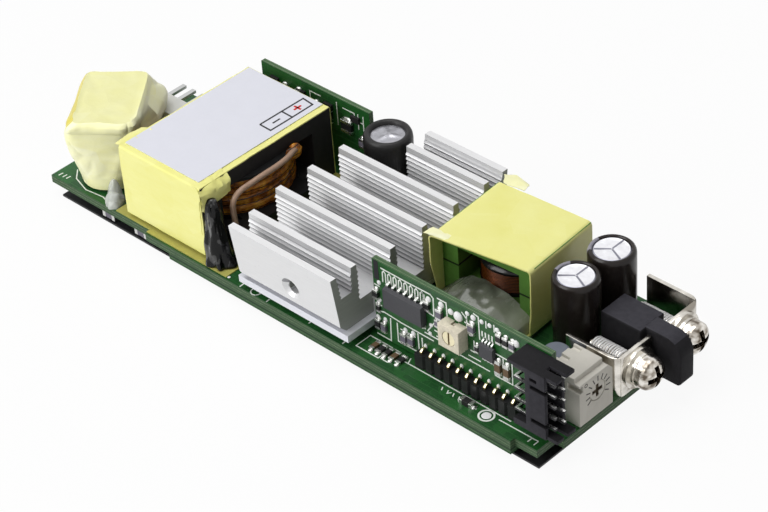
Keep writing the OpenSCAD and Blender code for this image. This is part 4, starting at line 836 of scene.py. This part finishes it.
made("fly_lead_sleeve", plain(lead_host), [lead_sleeve], "lead_sleeve", 60, stands_for=("fly_lead",))
bm = bmesh.new()
bmesh.ops.create_icosphere(bm, subdivisions=4, radius=1)
lead_end = spot(winding_x + 0.9, 23.3, 11.9)
for v in bm.verts:
    lump = 1 + 0.22 * noise.noise(v.co * 1.6 + Vector((4.0, 0, 0)))
    v.co = lead_end + Vector((v.co.x * 0.8, v.co.y * 1.9, v.co.z * 1.5 - v.co.y * 0.3)) * (lump * mm)
made("lead_tape", bm, [amber], "amber_tape", 60)


# The heatsink: extruded aluminium with ribbed fins, sawn to length, on a flat plate that presses
# on the power devices. Its near fin has a tapped, countersunk hole.
hs_lo, hs_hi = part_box("heatsink")
tap = spot(65.603, 1.5, 7.1)
rib_pitch, bore_r = 0.95, 1.35


def aluminium_finish(name, colour):
    """Extruded aluminium: fine lines along its length, with painted shade in the grooves between its ribs
    and down the tapped hole."""
    mat, p, shader = surface(name, colour, 0.42, 0.4)
    drawn = cloud(p, place_of(p, (0.05, 1, 1)), 0.16, 3, 0.6)
    pits = cloud(p, place_of(p), 0.5, 4, 0.7)
    face = mixed(p, drawn, tuple(c * 0.86 for c in colour), colour)
    face = mixed(p, (pits > 0.68) * 0.5, face, tuple(c * 0.6 for c in colour))
    along, back, up = (axis_of(p, a) for a in "xyz")
    # Painted shade in the valleys between the ribs, on the ribbed sides only.
    groove = p.math("FRACT", (up - (hs_lo.z * 1000 + 3.1)) * (1 / rib_pitch))
    inside = (back + up * 0.13) > hs_lo.y * 1000 + 0.65 + hs_hi.z * 130
    shaded = p.math("MAXIMUM", p.math("MAXIMUM", groove * 2.6 - 1.6, 1 - groove * 3.2), 0.0) * inside
    ribbed = (up > hs_lo.z * 1000 + 3.2) * (up < hs_hi.z * 1000 - 0.5)
    face = mixed(p, shaded * ribbed * 0.55, face, srgb(112, 112, 117))
    # Painted shade down the tapped hole.
    bore = (back > tap.y * 1000 + 0.75) * (back < tap.y * 1000 + 4.5)
    for centre, axis in ((tap.x * 1000, along), (tap.z * 1000, up)):
        bore = bore * (axis > centre - bore_r) * (axis < centre + bore_r)
    face = mixed(p, bore, face, srgb(58, 58, 58))
    feed(shader, p, Base_Color=face, Roughness=0.36 + drawn * 0.14,
        Normal=relief(p, drawn + pits * 0.3, 0.03))
    return mat


def softened(node, width, mats, slot, smooth=40, pick=lambda way: way.z > 0.8, move=None):
    """A CAD node's own shape with its edges rounded, in the node's place. A face's outward way picks its
    finish by number: the second of two for a face that looks up, unless told otherwise."""
    name = node + "_soft"
    bm = bmesh.new()
    bm.from_mesh(nodes[node].data)
    bmesh.ops.remove_doubles(bm, verts=bm.verts, dist=0.000002)
    bmesh.ops.dissolve_limit(bm, angle_limit=math.radians(0.6), verts=bm.verts, edges=bm.edges)
    mesh = mesh_of(bm, name, outward=False)
    if "custom_normal" in mesh.attributes:
        mesh.attributes.remove(mesh.attributes["custom_normal"])
    if width:
        mesh = evaluated(name, mesh, "BEVEL", width=width / 1000, segments=2, limit_method="ANGLE",
            angle_limit=math.radians(40), use_clamp_overlap=True)
    for v in mesh.vertices if move else ():
        v.co = move(v.co)
    for face in mesh.polygons:
        face.material_index = min(int(pick(face.normal)), len(mats) - 1)
    body = next(b for b, members in frame["record"]["behaviour"]["bodies"].items() if node in members)
    made(name, mesh, mats, slot, smooth, body, (node,))


aluminium = aluminium_finish("aluminium", srgb(230, 230, 231))
# The ribs' downward faces take a darker copy of the aluminium: painted shade.
rib_shade = aluminium_finish("rib_aluminium_painted_shade", srgb(156, 156, 159))
# The sawn end faces are darker and grainier: sawn texture and painted shade.
sawn = finish("sawn_and_shaded_aluminium", srgb(146, 149, 143), 0.55, 0.3, tint=0.16, patch=1.0, grain=0.2, depth=0.03,
    stretch=(1, 0.2, 2.5))
softened("heatsink", 0, [aluminium, rib_shade, sawn], "aluminium", 30,
    pick=lambda way: 2 if abs(way.x) > 0.8 else way.z < -0.3)
coil = Grown("winding", Turns="Float", Radius="Float", Height="Float", Wire="Float", Steps="Int", Sides="Int",
    Finish="Material")
helix = coil.p.node("GeometryNodeCurveSpiral", {key: coil.take(value) for key, value in (
    ("Resolution", "Steps"), ("Rotations", "Turns"), ("Start Radius", "Radius"), ("End Radius", "Radius"),
    ("Height", "Height"))})
round_wire = coil.p.node("GeometryNodeCurvePrimitiveCircle",
    {"Resolution": coil.take("Sides"), "Radius": coil.take("Wire")})
swept = coil.p.node("GeometryNodeCurveToMesh", {0: helix, 1: round_wire, "Fill Caps": True})
coil.end(coil.p.node("GeometryNodeSetShadeSmooth", {0: swept}))
cut_thread = finish("cut_thread", srgb(214, 214, 214), 0.35, 0.8, tint=0.3, patch=0.6)
tap_place = Matrix.Translation(tap + Vector((0, 0.0009, 0))) @ Matrix.Rotation(math.radians(-90), 4, "X")
made("tap_thread", coil.mesh("tap_thread", tap_place, Turns=6.0, Radius=0.00125, Height=0.003, Wire=0.0002,
    Steps=28, Sides=4, Finish=cut_thread), [], "aluminium")
paint(finish("plate_aluminium", srgb(224, 225, 232), 0.42, 0.5, stretch=(0.2, 1, 1)), "heatsink_plate")
paint(finish("device_black", srgb(30, 30, 31), 0.5), "power_devices")


# The capacitors: drawn aluminium cans, scored across the top so that they vent, in sleeves that
# shrank over their rims. The output pair have a stripe down their sleeves.
def can_finish(name, colour):
    """Drawn aluminium, dull in swirls."""
    mat, p, shader = surface(name, colour, 0.3, 1.0)
    swirl = cloud(p, place_of(p, (1, 1, 0.3)), 0.9, 5, 0.7)
    fine = cloud(p, place_of(p), 0.2, 2)
    feed(shader, p, Base_Color=mixed(p, swirl, tuple(c * 0.72 for c in colour), colour),
        Roughness=0.2 + swirl * 0.3, Normal=relief(p, swirl + fine * 0.3, 0.05))
    return mat


can_steps = 64


def turned(bm, profile, centre, steps=can_steps):
    """Rings of points round an upright axis: pairs of a radius and a height, in millimetres."""
    ways = [(math.cos(2 * math.pi * i / steps), math.sin(2 * math.pi * i / steps)) for i in range(steps)]
    return [[bm.verts.new(centre + Vector((r * c, r * s, z)) * mm) for c, s in ways] for r, z in profile]


def apart(a, b):
    """How many degrees two bearings are apart."""
    return abs((a - b + 180) % 360 - 180)


sleeve_dark = dict(tint=0.2, patch=2.0, Specular_IOR_Level=0.25)
paint(finish("grey_sleeve", srgb(120, 126, 138), 0.32, tint=0.1, patch=1.4), "small_cap")
bulk_lo, bulk_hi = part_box("bulk_sleeve")
bulk_mid = (bulk_lo + bulk_hi) / 2
bulk_foot = Vector((bulk_mid.x, bulk_mid.y, bulk_lo.z))
tall = (bulk_hi.z - bulk_lo.z) * 1000
bm = bmesh.new()
skinned(bm, turned(bm, [(4.2, 0.0), (4.4, 0.3), (4.4, 6.0)] + [(r, tall - down) for r, down in (
    (4.47, 2.6), (4.5, 1.5), (4.42, 0.7), (4.2, 0.2), (3.85, 0), (3.5, 0.05), (3.2, 0.3), (3.08, 0.8),
    (3.08, 1.1))], bulk_foot))
made("bulk_sleeve_skin", bm, [finish("black_sleeve", srgb(25, 24, 24), 0.4, **sleeve_dark)],
    "black_sleeve", 50, stands_for=("bulk_sleeve",))
top_r, top_rings, top_steps = 3.07, 7, 72
bm = bmesh.new()
rings = turned(bm, [(top_r * k / top_rings, tall - 0.8) for k in range(top_rings, 0, -1)],
    bulk_foot, top_steps)
for k, ring in enumerate(rings):
    for i, v in enumerate(ring):
        reach = (top_rings - k) / top_rings
        score = min(apart(360 * i / top_steps, a) for a in (25, 150, 265)) * reach
        v.co.z += 0.00028 * math.exp(-(score / 9) ** 2) * (1 - reach) + 0.0001 * noise.noise(v.co * 700)
skinned(bm, [[bm.verts.new(v.co - Vector((0, 0, 0.003))) for v in rings[0]]] + rings)
made("bulk_can_top", bm, [can_finish("bulk_aluminium", srgb(182, 182, 188))], "can_aluminium", 30,
    stands_for=("bulk_can",))

out_lo, out_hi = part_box("out_cap_sleeves")
out_r = (out_hi.x - out_lo.x) * 500
out_tall = board_mm(out_hi, "z")
sleeve_line = [(out_r - a, z) for a, z in ((0.3, 0.2), (0.1, 0.5), (0.1, 3.0), (0, 4.5))]
sleeve_line += [(out_r - a, out_tall - down) for a, down in (
    (0, 1.0), (0.04, 0.6), (0.2, 0.2), (0.45, 0), (0.7, 0.04), (0.84, 0.2), (0.84, 1.0))]
can_line = [(out_r - 0.86, 0.0)] + [(out_r - a, out_tall - down) for a, down in (
    (0.86, 0.55), (0.92, 0.34), (1.1, 0.26), (1.25, 0.3))] + [(1.6, out_tall - 0.27), (0.5, out_tall - 0.25)]
sleeves, cans, scores = bmesh.new(), bmesh.new(), bmesh.new()
for y, stripe in ((out_lo.y + out_r * mm, 172), (out_hi.y - out_r * mm, 196)):
    foot = Vector(((out_lo.x + out_hi.x) / 2, y, corner.z))
    skinned(sleeves, turned(sleeves, sleeve_line, foot), lambda level, step: int(
        any(apart(360 * k / can_steps, stripe) < 24 for k in (step, step + 1))))
    skinned(cans, turned(cans, can_line, foot), lambda level, step: int(level in (1, 2)))
    crown = foot + Vector((0, 0, (out_tall - 0.26) * mm))
    for angle in (91, 217, 336):
        way = Vector((math.cos(math.radians(angle)), math.sin(math.radians(angle)), 0)) * mm
        stroke(scores, [crown + way * 0.1, crown + way * (out_r - 1.15)], up_z, 0.34, 0.02)
made("out_cap_skins", sleeves, [finish("brown_sleeve", srgb(30, 23, 20), 0.22, **sleeve_dark),
    finish("stripe_grey", srgb(150, 148, 158), 0.3, tint=0.1)], "brown_sleeve", 35,
    stands_for=("out_cap_sleeves",))
# The cans' rolled bead takes a darker copy of their aluminium: painted shade.
made("out_cap_tops", cans, [can_finish("can_aluminium", srgb(246, 246, 250)),
    can_finish("can_bead_painted_shade", srgb(150, 150, 162))], "can_aluminium", 30, stands_for=("out_cap_cans",))
# The vent scores are dark strokes: painted shade in their grooves.
made("out_cap_scores", scores, [finish("score_painted_shade", srgb(132, 132, 144), 0.35, 0.6)], "can_aluminium")


# The auxiliary board: an upright board soldered behind the transformer, with its own small parts
# and their printed outlines.
aux_lo, aux_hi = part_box("aux_board")
paint(board_finish("aux_lacquer", "y", aux_lo.y * 1000, aux_hi.y * 1000), "aux_board")
paint(chip_finishes[black], "aux_parts")
aux_face = board_mm(aux_lo, "y")
print_thick = 0.035
bm = bmesh.new()
for x, z, length, width, kind in (
    (43.3, 10.7, 2.6, 2.6, black), (38.6, 11.2, 3.0, 1.6, black), (35.4, 11.6, 2.0, 1.2, grey),
    (46.9, 8.6, 2.0, 1.2, grey), (31.0, 12.4, 2.2, 1.3, brown), (27.4, 12.0, 2.2, 1.3, black)):
    chip(bm, spot(x, aux_face, z), up_z, east, south, length, width, 0.8, kind)
made("aux_chip_parts", bm, chip_finishes, "chip_ceramic")
bm = bmesh.new()
strokes(bm, ([(42.1, 14.0), (45.0, 14.0), (45.0, 12.8)], [(45.9, 14.2), (45.9, 10.9)],
    [(47.2, 14.2), (47.2, 10.9)], [(45.9, 12.6), (47.2, 12.6)], [(40.6, 14.6), (40.6, 9.6)],
    [(36.6, 14.2), (33.8, 14.2), (33.8, 9.8)]),
    lambda x, z: spot(x, aux_face, z), south, hair, print_thick)
made("aux_ink", bm, [ink], "white_label")


# The output choke: a painted green core round a bobbin of copper wire, bound with yellow tape and
# bedded in clear sealant.
oc_lo, oc_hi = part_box("out_choke_winding")
oc_mid = (oc_lo + oc_hi) / 2
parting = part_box("out_choke_core_upper")[0].z
green_core = finish("green_core", srgb(92, 138, 58), 0.42, tint=0.2, patch=1.2, depth=0.05,
    hollow=([((-1, -1, parting - 0.0002), (1, 1, parting + 0.00018))], srgb(24, 34, 20)))
paint(green_core, "out_choke_core_lower", "out_choke_core_upper")
bobbin_gloss = finish("bobbin_gloss", srgb(14, 14, 15), 0.15, Specular_IOR_Level=0.3)
paint(bobbin_gloss, "out_choke_bobbin")
oc_long, oc_wide, oc_high, oc_turn = 20.2, 17.4, 13.9, 93.5
tape_oc_lo, tape_oc_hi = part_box("out_choke_tape")
tape_mid = (tape_oc_lo + tape_oc_hi) / 2
oc_place = (Matrix.Translation((tape_mid.x, tape_mid.y, tape_oc_lo.z))
    @ Matrix.Rotation(math.radians(oc_turn), 4, "Z")
    @ Matrix.Translation(Vector((-oc_wide / 2, -oc_long / 2, 0)) * mm))
tape_loop("out_choke_wrap", oc_place, oc_long, oc_high, oc_wide, 11.0, ("out_choke_tape",),
    lambda u, v: (1.3 * u / oc_long - 0.5 * (1 - u / oc_long)) * min(1, max(0, v - 2) / 6), 0.9)
bm = bmesh.new()
flap(bm, [(80.4, 37.0, 14.55), (82.4, 37.2, 14.55), (84.4, 37.4, 14.55)],
    [(79.2, 38.6, 14.6), (81.6, 39.2, 14.6), (84.4, 38.9, 14.55)],
    [(78.9, 39.0, 14.5), (80.8, 40.1, 14.5), (84.2, 39.5, 14.4)])
flap(bm, [(79.6, 20.2, 14.55), (81.6, 20.3, 14.6), (83.7, 20.4, 14.55)],
    [(79.4, 19.0, 14.65), (81.6, 19.3, 14.7), (83.7, 19.5, 14.6)],
    [(79.4, 18.0, 14.6), (81.6, 18.4, 14.7), (83.7, 18.75, 14.5)])
made("out_choke_tape_ends", bm, [pale_tape], "yellow_tape", 50)
bed_lo, bed_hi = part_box("out_choke_sealant")
bed_near, bed_far = board_mm(bed_lo, "y"), board_mm(bed_hi, "y")
crest = ((80.0, 1.5), (82.0, 3.3), (84.0, 5.2), (86.0, 6.4), (88.0, 6.8), (91.0, 6.5), (93.5, 5.9),
    (96.5, 4.8), (98.9, 3.2))
bed_left, bed_long, bed_steps, bed_rows = 80.0, 18.9, 60, 24
bm = bmesh.new()
top, low = [], []
for i in range(bed_steps + 1):
    x = bed_left + bed_long * i / bed_steps
    (x0, z0), (x1, z1) = next(pair for pair in zip(crest, crest[1:]) if x <= pair[1][0] + 1e-6)
    peak = z0 + (z1 - z0) * ((x - x0) / (x1 - x0))
    top.append([])
    low.append([])
    for j in range(bed_rows + 1):
        g = j / bed_rows
        y = bed_near + (bed_far - bed_near) * g + 0.06 * (x - 89.7) * g
        dome = math.sqrt(max(0, 1 - (1 - min(g / 0.85, 1)) ** 2.2))
        near, _ = noise.voronoi(Vector((x * 0.32, y * 0.6, 2.0)))
        crack = 0.16 * math.exp(-4 * (near[1] - near[0])) * dome
        rise = peak * dome * (1 + 0.1 * noise.noise(Vector((x * 0.4, y * 0.4, 1.0)))) - crack
        top[-1].append(bm.verts.new(spot(x, y, max(rise, 0.06))))
        low[-1].append(bm.verts.new(spot(x, y, 0.02)))
sheet(bm, top, low)
bedding, p, shader = surface("bedding_sealant", srgb(112, 113, 104), 0.2, Specular_IOR_Level=0.45,
    Coat_Weight=0.2)
film = cloud(p, place_of(p, (1, 0.4, 0.4), (0, 0, 0.6)), 1.8, 3, 0.5)
veil = film.ramp((0.34, srgb(84, 88, 75)), (0.7, srgb(122, 127, 114)), (0.55, srgb(100, 105, 91)))
right = p.math("MINIMUM", p.math("MAXIMUM", (axis_of(p, "x") - 29.0) * 0.1, 0.0), 0.8)
veil = mixed(p, right, veil, srgb(150, 155, 139))
feed(shader, p, Base_Color=veil, Roughness=0.16 + film * 0.2, Normal=relief(p, film, 0.1))
made("out_choke_bedding", bm, [bedding], "clear_sealant", 60, stands_for=("out_choke_sealant",))

oc_radius = (oc_hi.x - oc_lo.x) / 2
turns = 11
coil_top = oc_hi.z - 0.0026
wire_r = (coil_top - oc_lo.z) / (2 * turns + 2)
copper, p, shader = surface("enamelled_copper", srgb(124, 64, 24), 0.26, 0.6)
# Dark lines where the turns meet: painted shade in the crevices between them.
lay = p.math("FRACT", (axis_of(p, "z") - oc_lo.z * 1000) * (0.0005 / wire_r))
between = (p.math("PINGPONG", lay, 0.5) < 0.12) * 0.9
wire_tone = mixed(p, cloud(p, place_of(p), 0.8, 2), srgb(122, 62, 22), srgb(166, 90, 36))
feed(shader, p, Base_Color=mixed(p, between, wire_tone, srgb(36, 16, 8)))
wound = coil.mesh("out_choke_wire", Matrix.Translation((oc_mid.x, oc_mid.y, oc_lo.z + wire_r)),
    Turns=float(turns), Radius=oc_radius - wire_r, Height=coil_top - oc_lo.z - 2 * wire_r, Wire=wire_r,
    Steps=40, Sides=10, Finish=copper)
made("out_choke_wire", wound, [], "copper_wire", stands_for=("out_choke_winding",))
bm = bmesh.new()
skinned(bm, turned(bm, [(oc_radius * 1000 + out, z) for out, z in (
    (-2.4, -2.7), (0.05, -2.7), (0.15, -2.4), (-0.05, -2.0), (-0.9, -1.5), (-1.6, -0.9), (-1.9, 0.0),
    (-2.4, 0.0), (-2.4, -2.7))], Vector((oc_mid.x, oc_mid.y, oc_hi.z))), caps=False)
bmesh.ops.remove_doubles(bm, verts=bm.verts, dist=0.000001)
made("out_choke_flange", bm, [bobbin_gloss], "black_plastic", 40)


# The control board: an upright board with two control chips, small chip parts, a row of bent
# joining pins, an adjuster and the signal connector, soldered by hand and by wave.
ctrl_lo, ctrl_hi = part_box("control_board")
paint(board_finish("control_lacquer", "y", ctrl_lo.y * 1000, ctrl_hi.y * 1000), "control_board")
front_y = board_mm(ctrl_lo, "y")


def front(x, z):
    """A point on the control board's front face."""
    return spot(x, front_y, z)


package = finish("chip_package", srgb(60, 60, 64), 0.5, tint=0.12, patch=1.0, grain=0.15, depth=0.02)
paint(package, "control_ics")
paint(tin, "control_ic_leads")
gold = finish("gold_pin", srgb(224, 212, 172), 0.2, 1.0, tint=0.2, patch=0.6)
# The pins' sides take a darker copy of the gold: painted shade, their tops lit.
gold_shaded_side = finish("gold_shaded_side", srgb(112, 100, 66), 0.35, 0.6, tint=0.2, patch=0.6)
softened("header_pins", 0.08, [gold_shaded_side, gold], "gold_pin", pick=lambda way: way.z > 0.3)
tip_x, tip_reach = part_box("signal_pins")[1].x - 0.0002, 0.0012
# The signal pins' sides take a dark copy of the tin: painted shade, their tops lit.
tin_shaded_side = finish("tin_shaded_side", srgb(52, 52, 54), 0.4, 0.5, Specular_IOR_Level=0.2)
softened("signal_pins", 0.06, [tin_shaded_side, tin], "tinned_metal",
    move=lambda at: at + Vector((tip_reach if at.x > tip_x else 0, 0, 0)))
paint(finish("header_black", srgb(22, 22, 23), 0.4, depth=0.02), "header_body")

bm = bmesh.new()
for x, z, length, width, high, kind in (
    (79.6, 3.1, 2.0, 1.1, 0.6, black), (80.95, 2.9, 2.0, 1.1, 0.6, grey), (85.45, 2.9, 2.2, 1.25, 0.6, grey),
    (87.15, 3.2, 2.2, 1.25, 0.6, grey), (91.3, 12.8, 2.0, 1.2, 0.6, black), (94.1, 12.5, 2.2, 1.3, 0.7, grey),
    (101.15, 13.2, 2.2, 1.3, 0.7, grey), (106.95, 14.05, 2.0, 1.1, 0.55, black),
    (108.35, 14.05, 2.0, 1.1, 0.55, black), (109.75, 14.05, 1.9, 1.1, 0.55, grey),
    (106.6, 8.0, 3.0, 1.25, 0.65, brown), (108.45, 8.0, 3.0, 1.25, 0.65, brown),
    (79.65, 9.5, 1.9, 1.2, 0.7, black), (79.9, 6.6, 1.6, 0.8, 0.45, black),
    (93.3, 10.2, 1.6, 0.8, 0.45, grey), (102.0, 9.4, 1.6, 0.8, 0.45, black)):
    chip(bm, front(x, z), up_z, east, south, length, width, high, kind)
made("control_chip_parts", bm, chip_finishes, "chip_ceramic", stands_for=("control_chips",))

first_loop, loop_pitch = 81.6, 1.215
bm = bmesh.new()
strokes(bm, (
    [(80.9, 15.35), (86.6, 15.3), (92.0, 15.4), (92.65, 14.9), (92.55, 11.15), (90.9, 11.35)],
    [(79.1, 5.5), (81.0, 6.1), (85.0, 5.8), (92.2, 5.75)], [(78.95, 0.6), (82.2, 0.6), (82.4, 5.5)],
    [(90.9, 7.2), (92.4, 9.5), (93.0, 10.1)], [(88.6, 5.5), (88.7, 1.4), (83.9, 1.4), (83.9, 5.3)],
    [(93.5, 15.4), (95.5, 15.4), (95.6, 12.7)], [(98.85, 15.3), (99.95, 14.3)],
    [(101.4, 16.3), (102.5, 16.1), (102.6, 11.5)], [(99.4, 13.5), (100.4, 13.45)],
    [(104.1, 16.1), (104.1, 14.6)], [(105.8, 16.2), (105.85, 14.7)],
    [(105.7, 10.4), (109.4, 10.3), (109.4, 5.7), (105.7, 5.7), (105.7, 10.4)],
    [(90.2, 6.6), (94.3, 6.6), (94.3, 10.9)], [(99.9, 6.9), (102.6, 6.9)], [(96.0, 5.9), (104.5, 5.9)],
    [(110.6, 12.6), (112.4, 12.6), (112.4, 15.6)], [(84.6, 4.35), (88.0, 4.35)], [(84.7, 2.0), (84.7, 3.8)],
    [(86.3, 1.7), (86.3, 4.5)], [(90.5, 8.0), (90.5, 10.6)], [(92.9, 7.2), (93.9, 7.2), (93.9, 9.1)],
    [(92.5, 8.2), (93.4, 8.2)], [(89.5, 5.0), (89.5, 2.2)], [(99.9, 15.0), (99.9, 12.2)],
    [(79.1, 11.2), (80.4, 11.2)], [(79.1, 7.2), (80.6, 7.2)], [(100.4, 8.2), (101.3, 8.2), (101.3, 10.6)],
    [(107.5, 10.1), (107.5, 5.9)], [(106.2, 12.9), (110.3, 12.9)], [(90.6, 12.0), (90.6, 14.6), (89.9, 14.9)],
    *[[(first_loop + i * loop_pitch + dx, z) for dx, z in (
        (-0.36, 12.6), (-0.34, 14.6), (0.0, 15.0), (0.34, 14.6), (0.36, 12.6))] for i in range(8)]),
    front, south, tick, print_thick)
strokes(bm, [[(x, 12.5), (x, 13.6)] for x in (103.2, 103.9, 104.6, 105.3)], front, south, 0.3, 0.05)
made("control_ink", bm, [ink], "white_label")

pin_lo, pin_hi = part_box("header_pins")
pin_foot = Vector((pin_lo.x + 0.00025, ctrl_lo.y, pin_hi.z - 0.0001))
blobs = [domes(pin_foot, (0.75, 0.7, 1.0), 11, 2.0)] + [domes(front(x, z), (s, 0.6 * s, s)) for x, z, s in (
    (80.3, 12.0, 0.9), (79.5, 4.4, 0.9), (81.2, 4.6, 0.9), (85.8, 4.8, 0.9), (87.6, 5.0, 1.0),
    (91.6, 14.2, 1.1), (94.4, 14.5, 1.2), (96.45, 14.1, 1.2), (98.1, 13.95, 1.9), (100.1, 15.6, 0.9),
    (101.4, 15.4, 1.1),
    (103.2, 15.5, 0.9), (104.9, 15.6, 0.9), (106.5, 15.5, 1.0), (110.5, 14.8, 1.4), (91.8, 8.9, 0.8),
    (91.5, 7.0, 0.8), (80.2, 8.3, 0.8), (79.8, 7.5, 0.8), (93.2, 11.4, 0.7), (100.6, 11.6, 0.8))]
made("control_solder", joined("control_solder", blobs), [], "tinned_metal")

bm = bmesh.new()
block(bm, front(79.3, 12.45) - Vector((0, 0.00004, 0)), front(80.35, 16.4) + Vector((0, 0.00001, 0)), 0.01)
made("control_mark", bm, [finish("black_mark", srgb(34, 32, 38), 0.5)], "black_plastic")

cream = finish("cream_plastic", srgb(212, 204, 184), 0.6, tint=0.34, patch=0.5, depth=0.05)
softened("small_trimmer_body", 0.12, [cream], "cream_plastic")
slot_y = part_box("small_trimmer_rotor")[0].y + 0.00012
# Brown inside the rotor's slot: painted shade in the recess.
paint(finish("cream_rotor", srgb(236, 226, 190), 0.45, tint=0.08, patch=0.8,
    hollow=([((-1, slot_y, -1), (1, 1, 1))], srgb(126, 104, 66))), "small_trimmer_rotor")
matt = dict(tint=0.4, patch=1.0, grain=0.13, depth=0.03, Specular_IOR_Level=0.08)
# The connector's sides and top are two tones of one black plastic: painted light and shade, the top darker.
softened("signal_connector", 0.1, [finish("connector_side", srgb(46, 45, 50), 0.6, **matt),
    finish("connector_top", srgb(20, 19, 22), 0.6, **matt)], "black_plastic")


# The output adjuster: a moulded grey box with a cross-slotted dial set in its face and ticks
# printed round the dial.
dial_grey = srgb(216, 212, 202)
back_x, back_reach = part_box("trimmer_body")[0].x + 0.0004, 0.0013
softened("trimmer_body", 0.16, [finish("grey_plastic", dial_grey, 0.55, tint=0.07, patch=1.5, depth=0.015)],
    "grey_plastic", move=lambda at: at - Vector((back_reach if at.x < back_x else 0, 0, 0)))
face_lo, face_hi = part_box("trimmer_rotor")
slot_x = face_hi.x - 0.00012
# Darker inside the dial's cross slot: painted shade in the recess.
paint(finish("grey_rotor", dial_grey, 0.5, tint=0.07, patch=1.0,
    hollow=([((-1, -1, -1), (slot_x, 1, 1))], srgb(104, 94, 78))), "trimmer_rotor")
dial = Vector((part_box("trimmer_body")[1].x, (face_lo.y + face_hi.y) / 2, (face_lo.z + face_hi.z) / 2))
ticks, swing = 11, 120
bm = bmesh.new()
for i in range(ticks):
    t = math.radians(-swing + 2 * swing * i / (ticks - 1))
    way = Vector((0, math.sin(t), math.cos(t)))
    stroke(bm, [dial + way * 0.0020, dial + way * 0.0030], east, hair)
stroke(bm, circle(dial + Vector((0, -0.0029, 0.0028)), 0.32, east, 16), east, 0.12, closed=True)
made("dial_ticks", bm, [finish("grey_ink", srgb(70, 68, 66), 0.6)], "grey_plastic")


# The output terminals: bent nickel-plated brackets with screws and washers, a moulded barrier
# between them. The screws have rolled threads.
def plated_finish(name, reflection_tones, size, hollow=()):
    """Polished plating with painted reflections: soft light and dark patches in its colour, and painted shade
    in hollows.
    """
    mat, p, shader = surface(name, reflection_tones[2], 0.16, 1.0)
    patch = cloud(p, place_of(p, (1, 0.8, 1.3)), size, 2, 0.5)
    fine = cloud(p, place_of(p), 0.25, 2)
    tone = patch.ramp((0.36, reflection_tones[0]), (0.62, reflection_tones[2]), (0.47, reflection_tones[1]))
    feed(shader, p, Base_Color=darkened(p, tone, hollow, srgb(64, 59, 53)), Roughness=0.12 + fine * 0.14,
        Normal=relief(p, fine + patch, 0.02))
    return mat


# The brackets and washers show painted reflections in broad soft patches.
nickel = plated_finish("nickel_steel", [srgb(148, 142, 132), srgb(196, 192, 184), srgb(228, 224, 216)], 3.6)
near_lo, near_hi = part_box("terminal_near")
softened("terminal_near", 0.12, [nickel], "nickel_steel", move=lambda at: at + Vector((
    0, 0.0004 if at.y < near_lo.y + 0.0012 else 0, 0.0005 if at.z > near_hi.z - 0.0006 else 0)))
softened("terminal_far", 0.12, [nickel], "nickel_steel")
paint(nickel, "flat_washers", "spring_washers")
bar_lo, bar_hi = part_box("terminal_barrier")
bar_mid = (bar_lo.y + bar_hi.y) / 2
block_x, tongue_x = bar_lo.x + 0.0084, bar_lo.x + 0.0078
tongue, foot_r, nose_r = 0.0035, 0.0009, 0.0032
nose = [(tongue_x, bar_lo.z), (bar_hi.x - foot_r, bar_lo.z)]
for r, z, start in ((foot_r, bar_lo.z + foot_r, -90), (nose_r, bar_hi.z - nose_r, 0)):
    for k in range(1 if start else 0, 11):
        t = math.radians(start + 9 * k)
        nose.append((bar_hi.x - r + r * math.cos(t), z + r * math.sin(t)))
nose.append((tongue_x, bar_hi.z))
bm = bmesh.new()
block(bm, bar_lo, (block_x, bar_hi.y, bar_hi.z))
skinned(bm, [[bm.verts.new((x, bar_mid + side * tongue / 2, z)) for x, z in nose] for side in (-1, 1)])
barrier = evaluated("barrier", mesh_of(bm, "barrier"), "BEVEL", width=0.00028, segments=3,
    limit_method="ANGLE", angle_limit=math.radians(50))
# Its top is a lighter copy of its sides' finish: painted light on the top.
for face in barrier.polygons:
    face.material_index = 1 if face.normal.z > 0.8 else 0
made("barrier", barrier, [finish("barrier_side", srgb(27, 26, 29), 0.6, **matt),
    finish("barrier_top", srgb(57, 56, 62), 0.6, **matt)], "black_plastic", 40,
    stands_for=("terminal_barrier",))
screw_lo, screw_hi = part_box("terminal_screws")
screw_z = (screw_lo.z + screw_hi.z) / 2
head_r, plate, slot_long, slot_wide, thread_pitch = 0.00295, 0.0008, 0.0019, 0.00072, 0.0005
screw_ys = (screw_lo.y + head_r, screw_hi.y - head_r)
# Painted shade in the heads' cross recesses, and painted reflections in smaller, stronger patches.
cross = [((screw_hi.x - 0.0013, y - a, screw_z - b), (screw_hi.x - 0.0006, y + a, screw_z + b))
    for y in screw_ys for a, b in ((slot_long, slot_wide), (slot_wide, slot_long))]
paint(plated_finish("screw_steel", [srgb(98, 88, 76), srgb(176, 169, 159), srgb(232, 228, 221)], 1.7, cross),
    "terminal_screws")
thread_steel = finish("thread_steel", srgb(150, 146, 138), 0.3, 1.0, tint=0.3, patch=0.8)
shank = near_hi.x - plate - screw_lo.x
threads = [coil.mesh("thread", Matrix.Translation((screw_lo.x + 0.0002, y, screw_z))
    @ Matrix.Rotation(math.radians(90), 4, "Y"), Turns=shank / thread_pitch - 1, Radius=0.00147,
    Height=shank - 0.0004, Wire=0.00021, Steps=24, Sides=4, Finish=thread_steel) for y in screw_ys]
made("screw_threads", joined("screw_threads", threads), [], "nickel_steel")
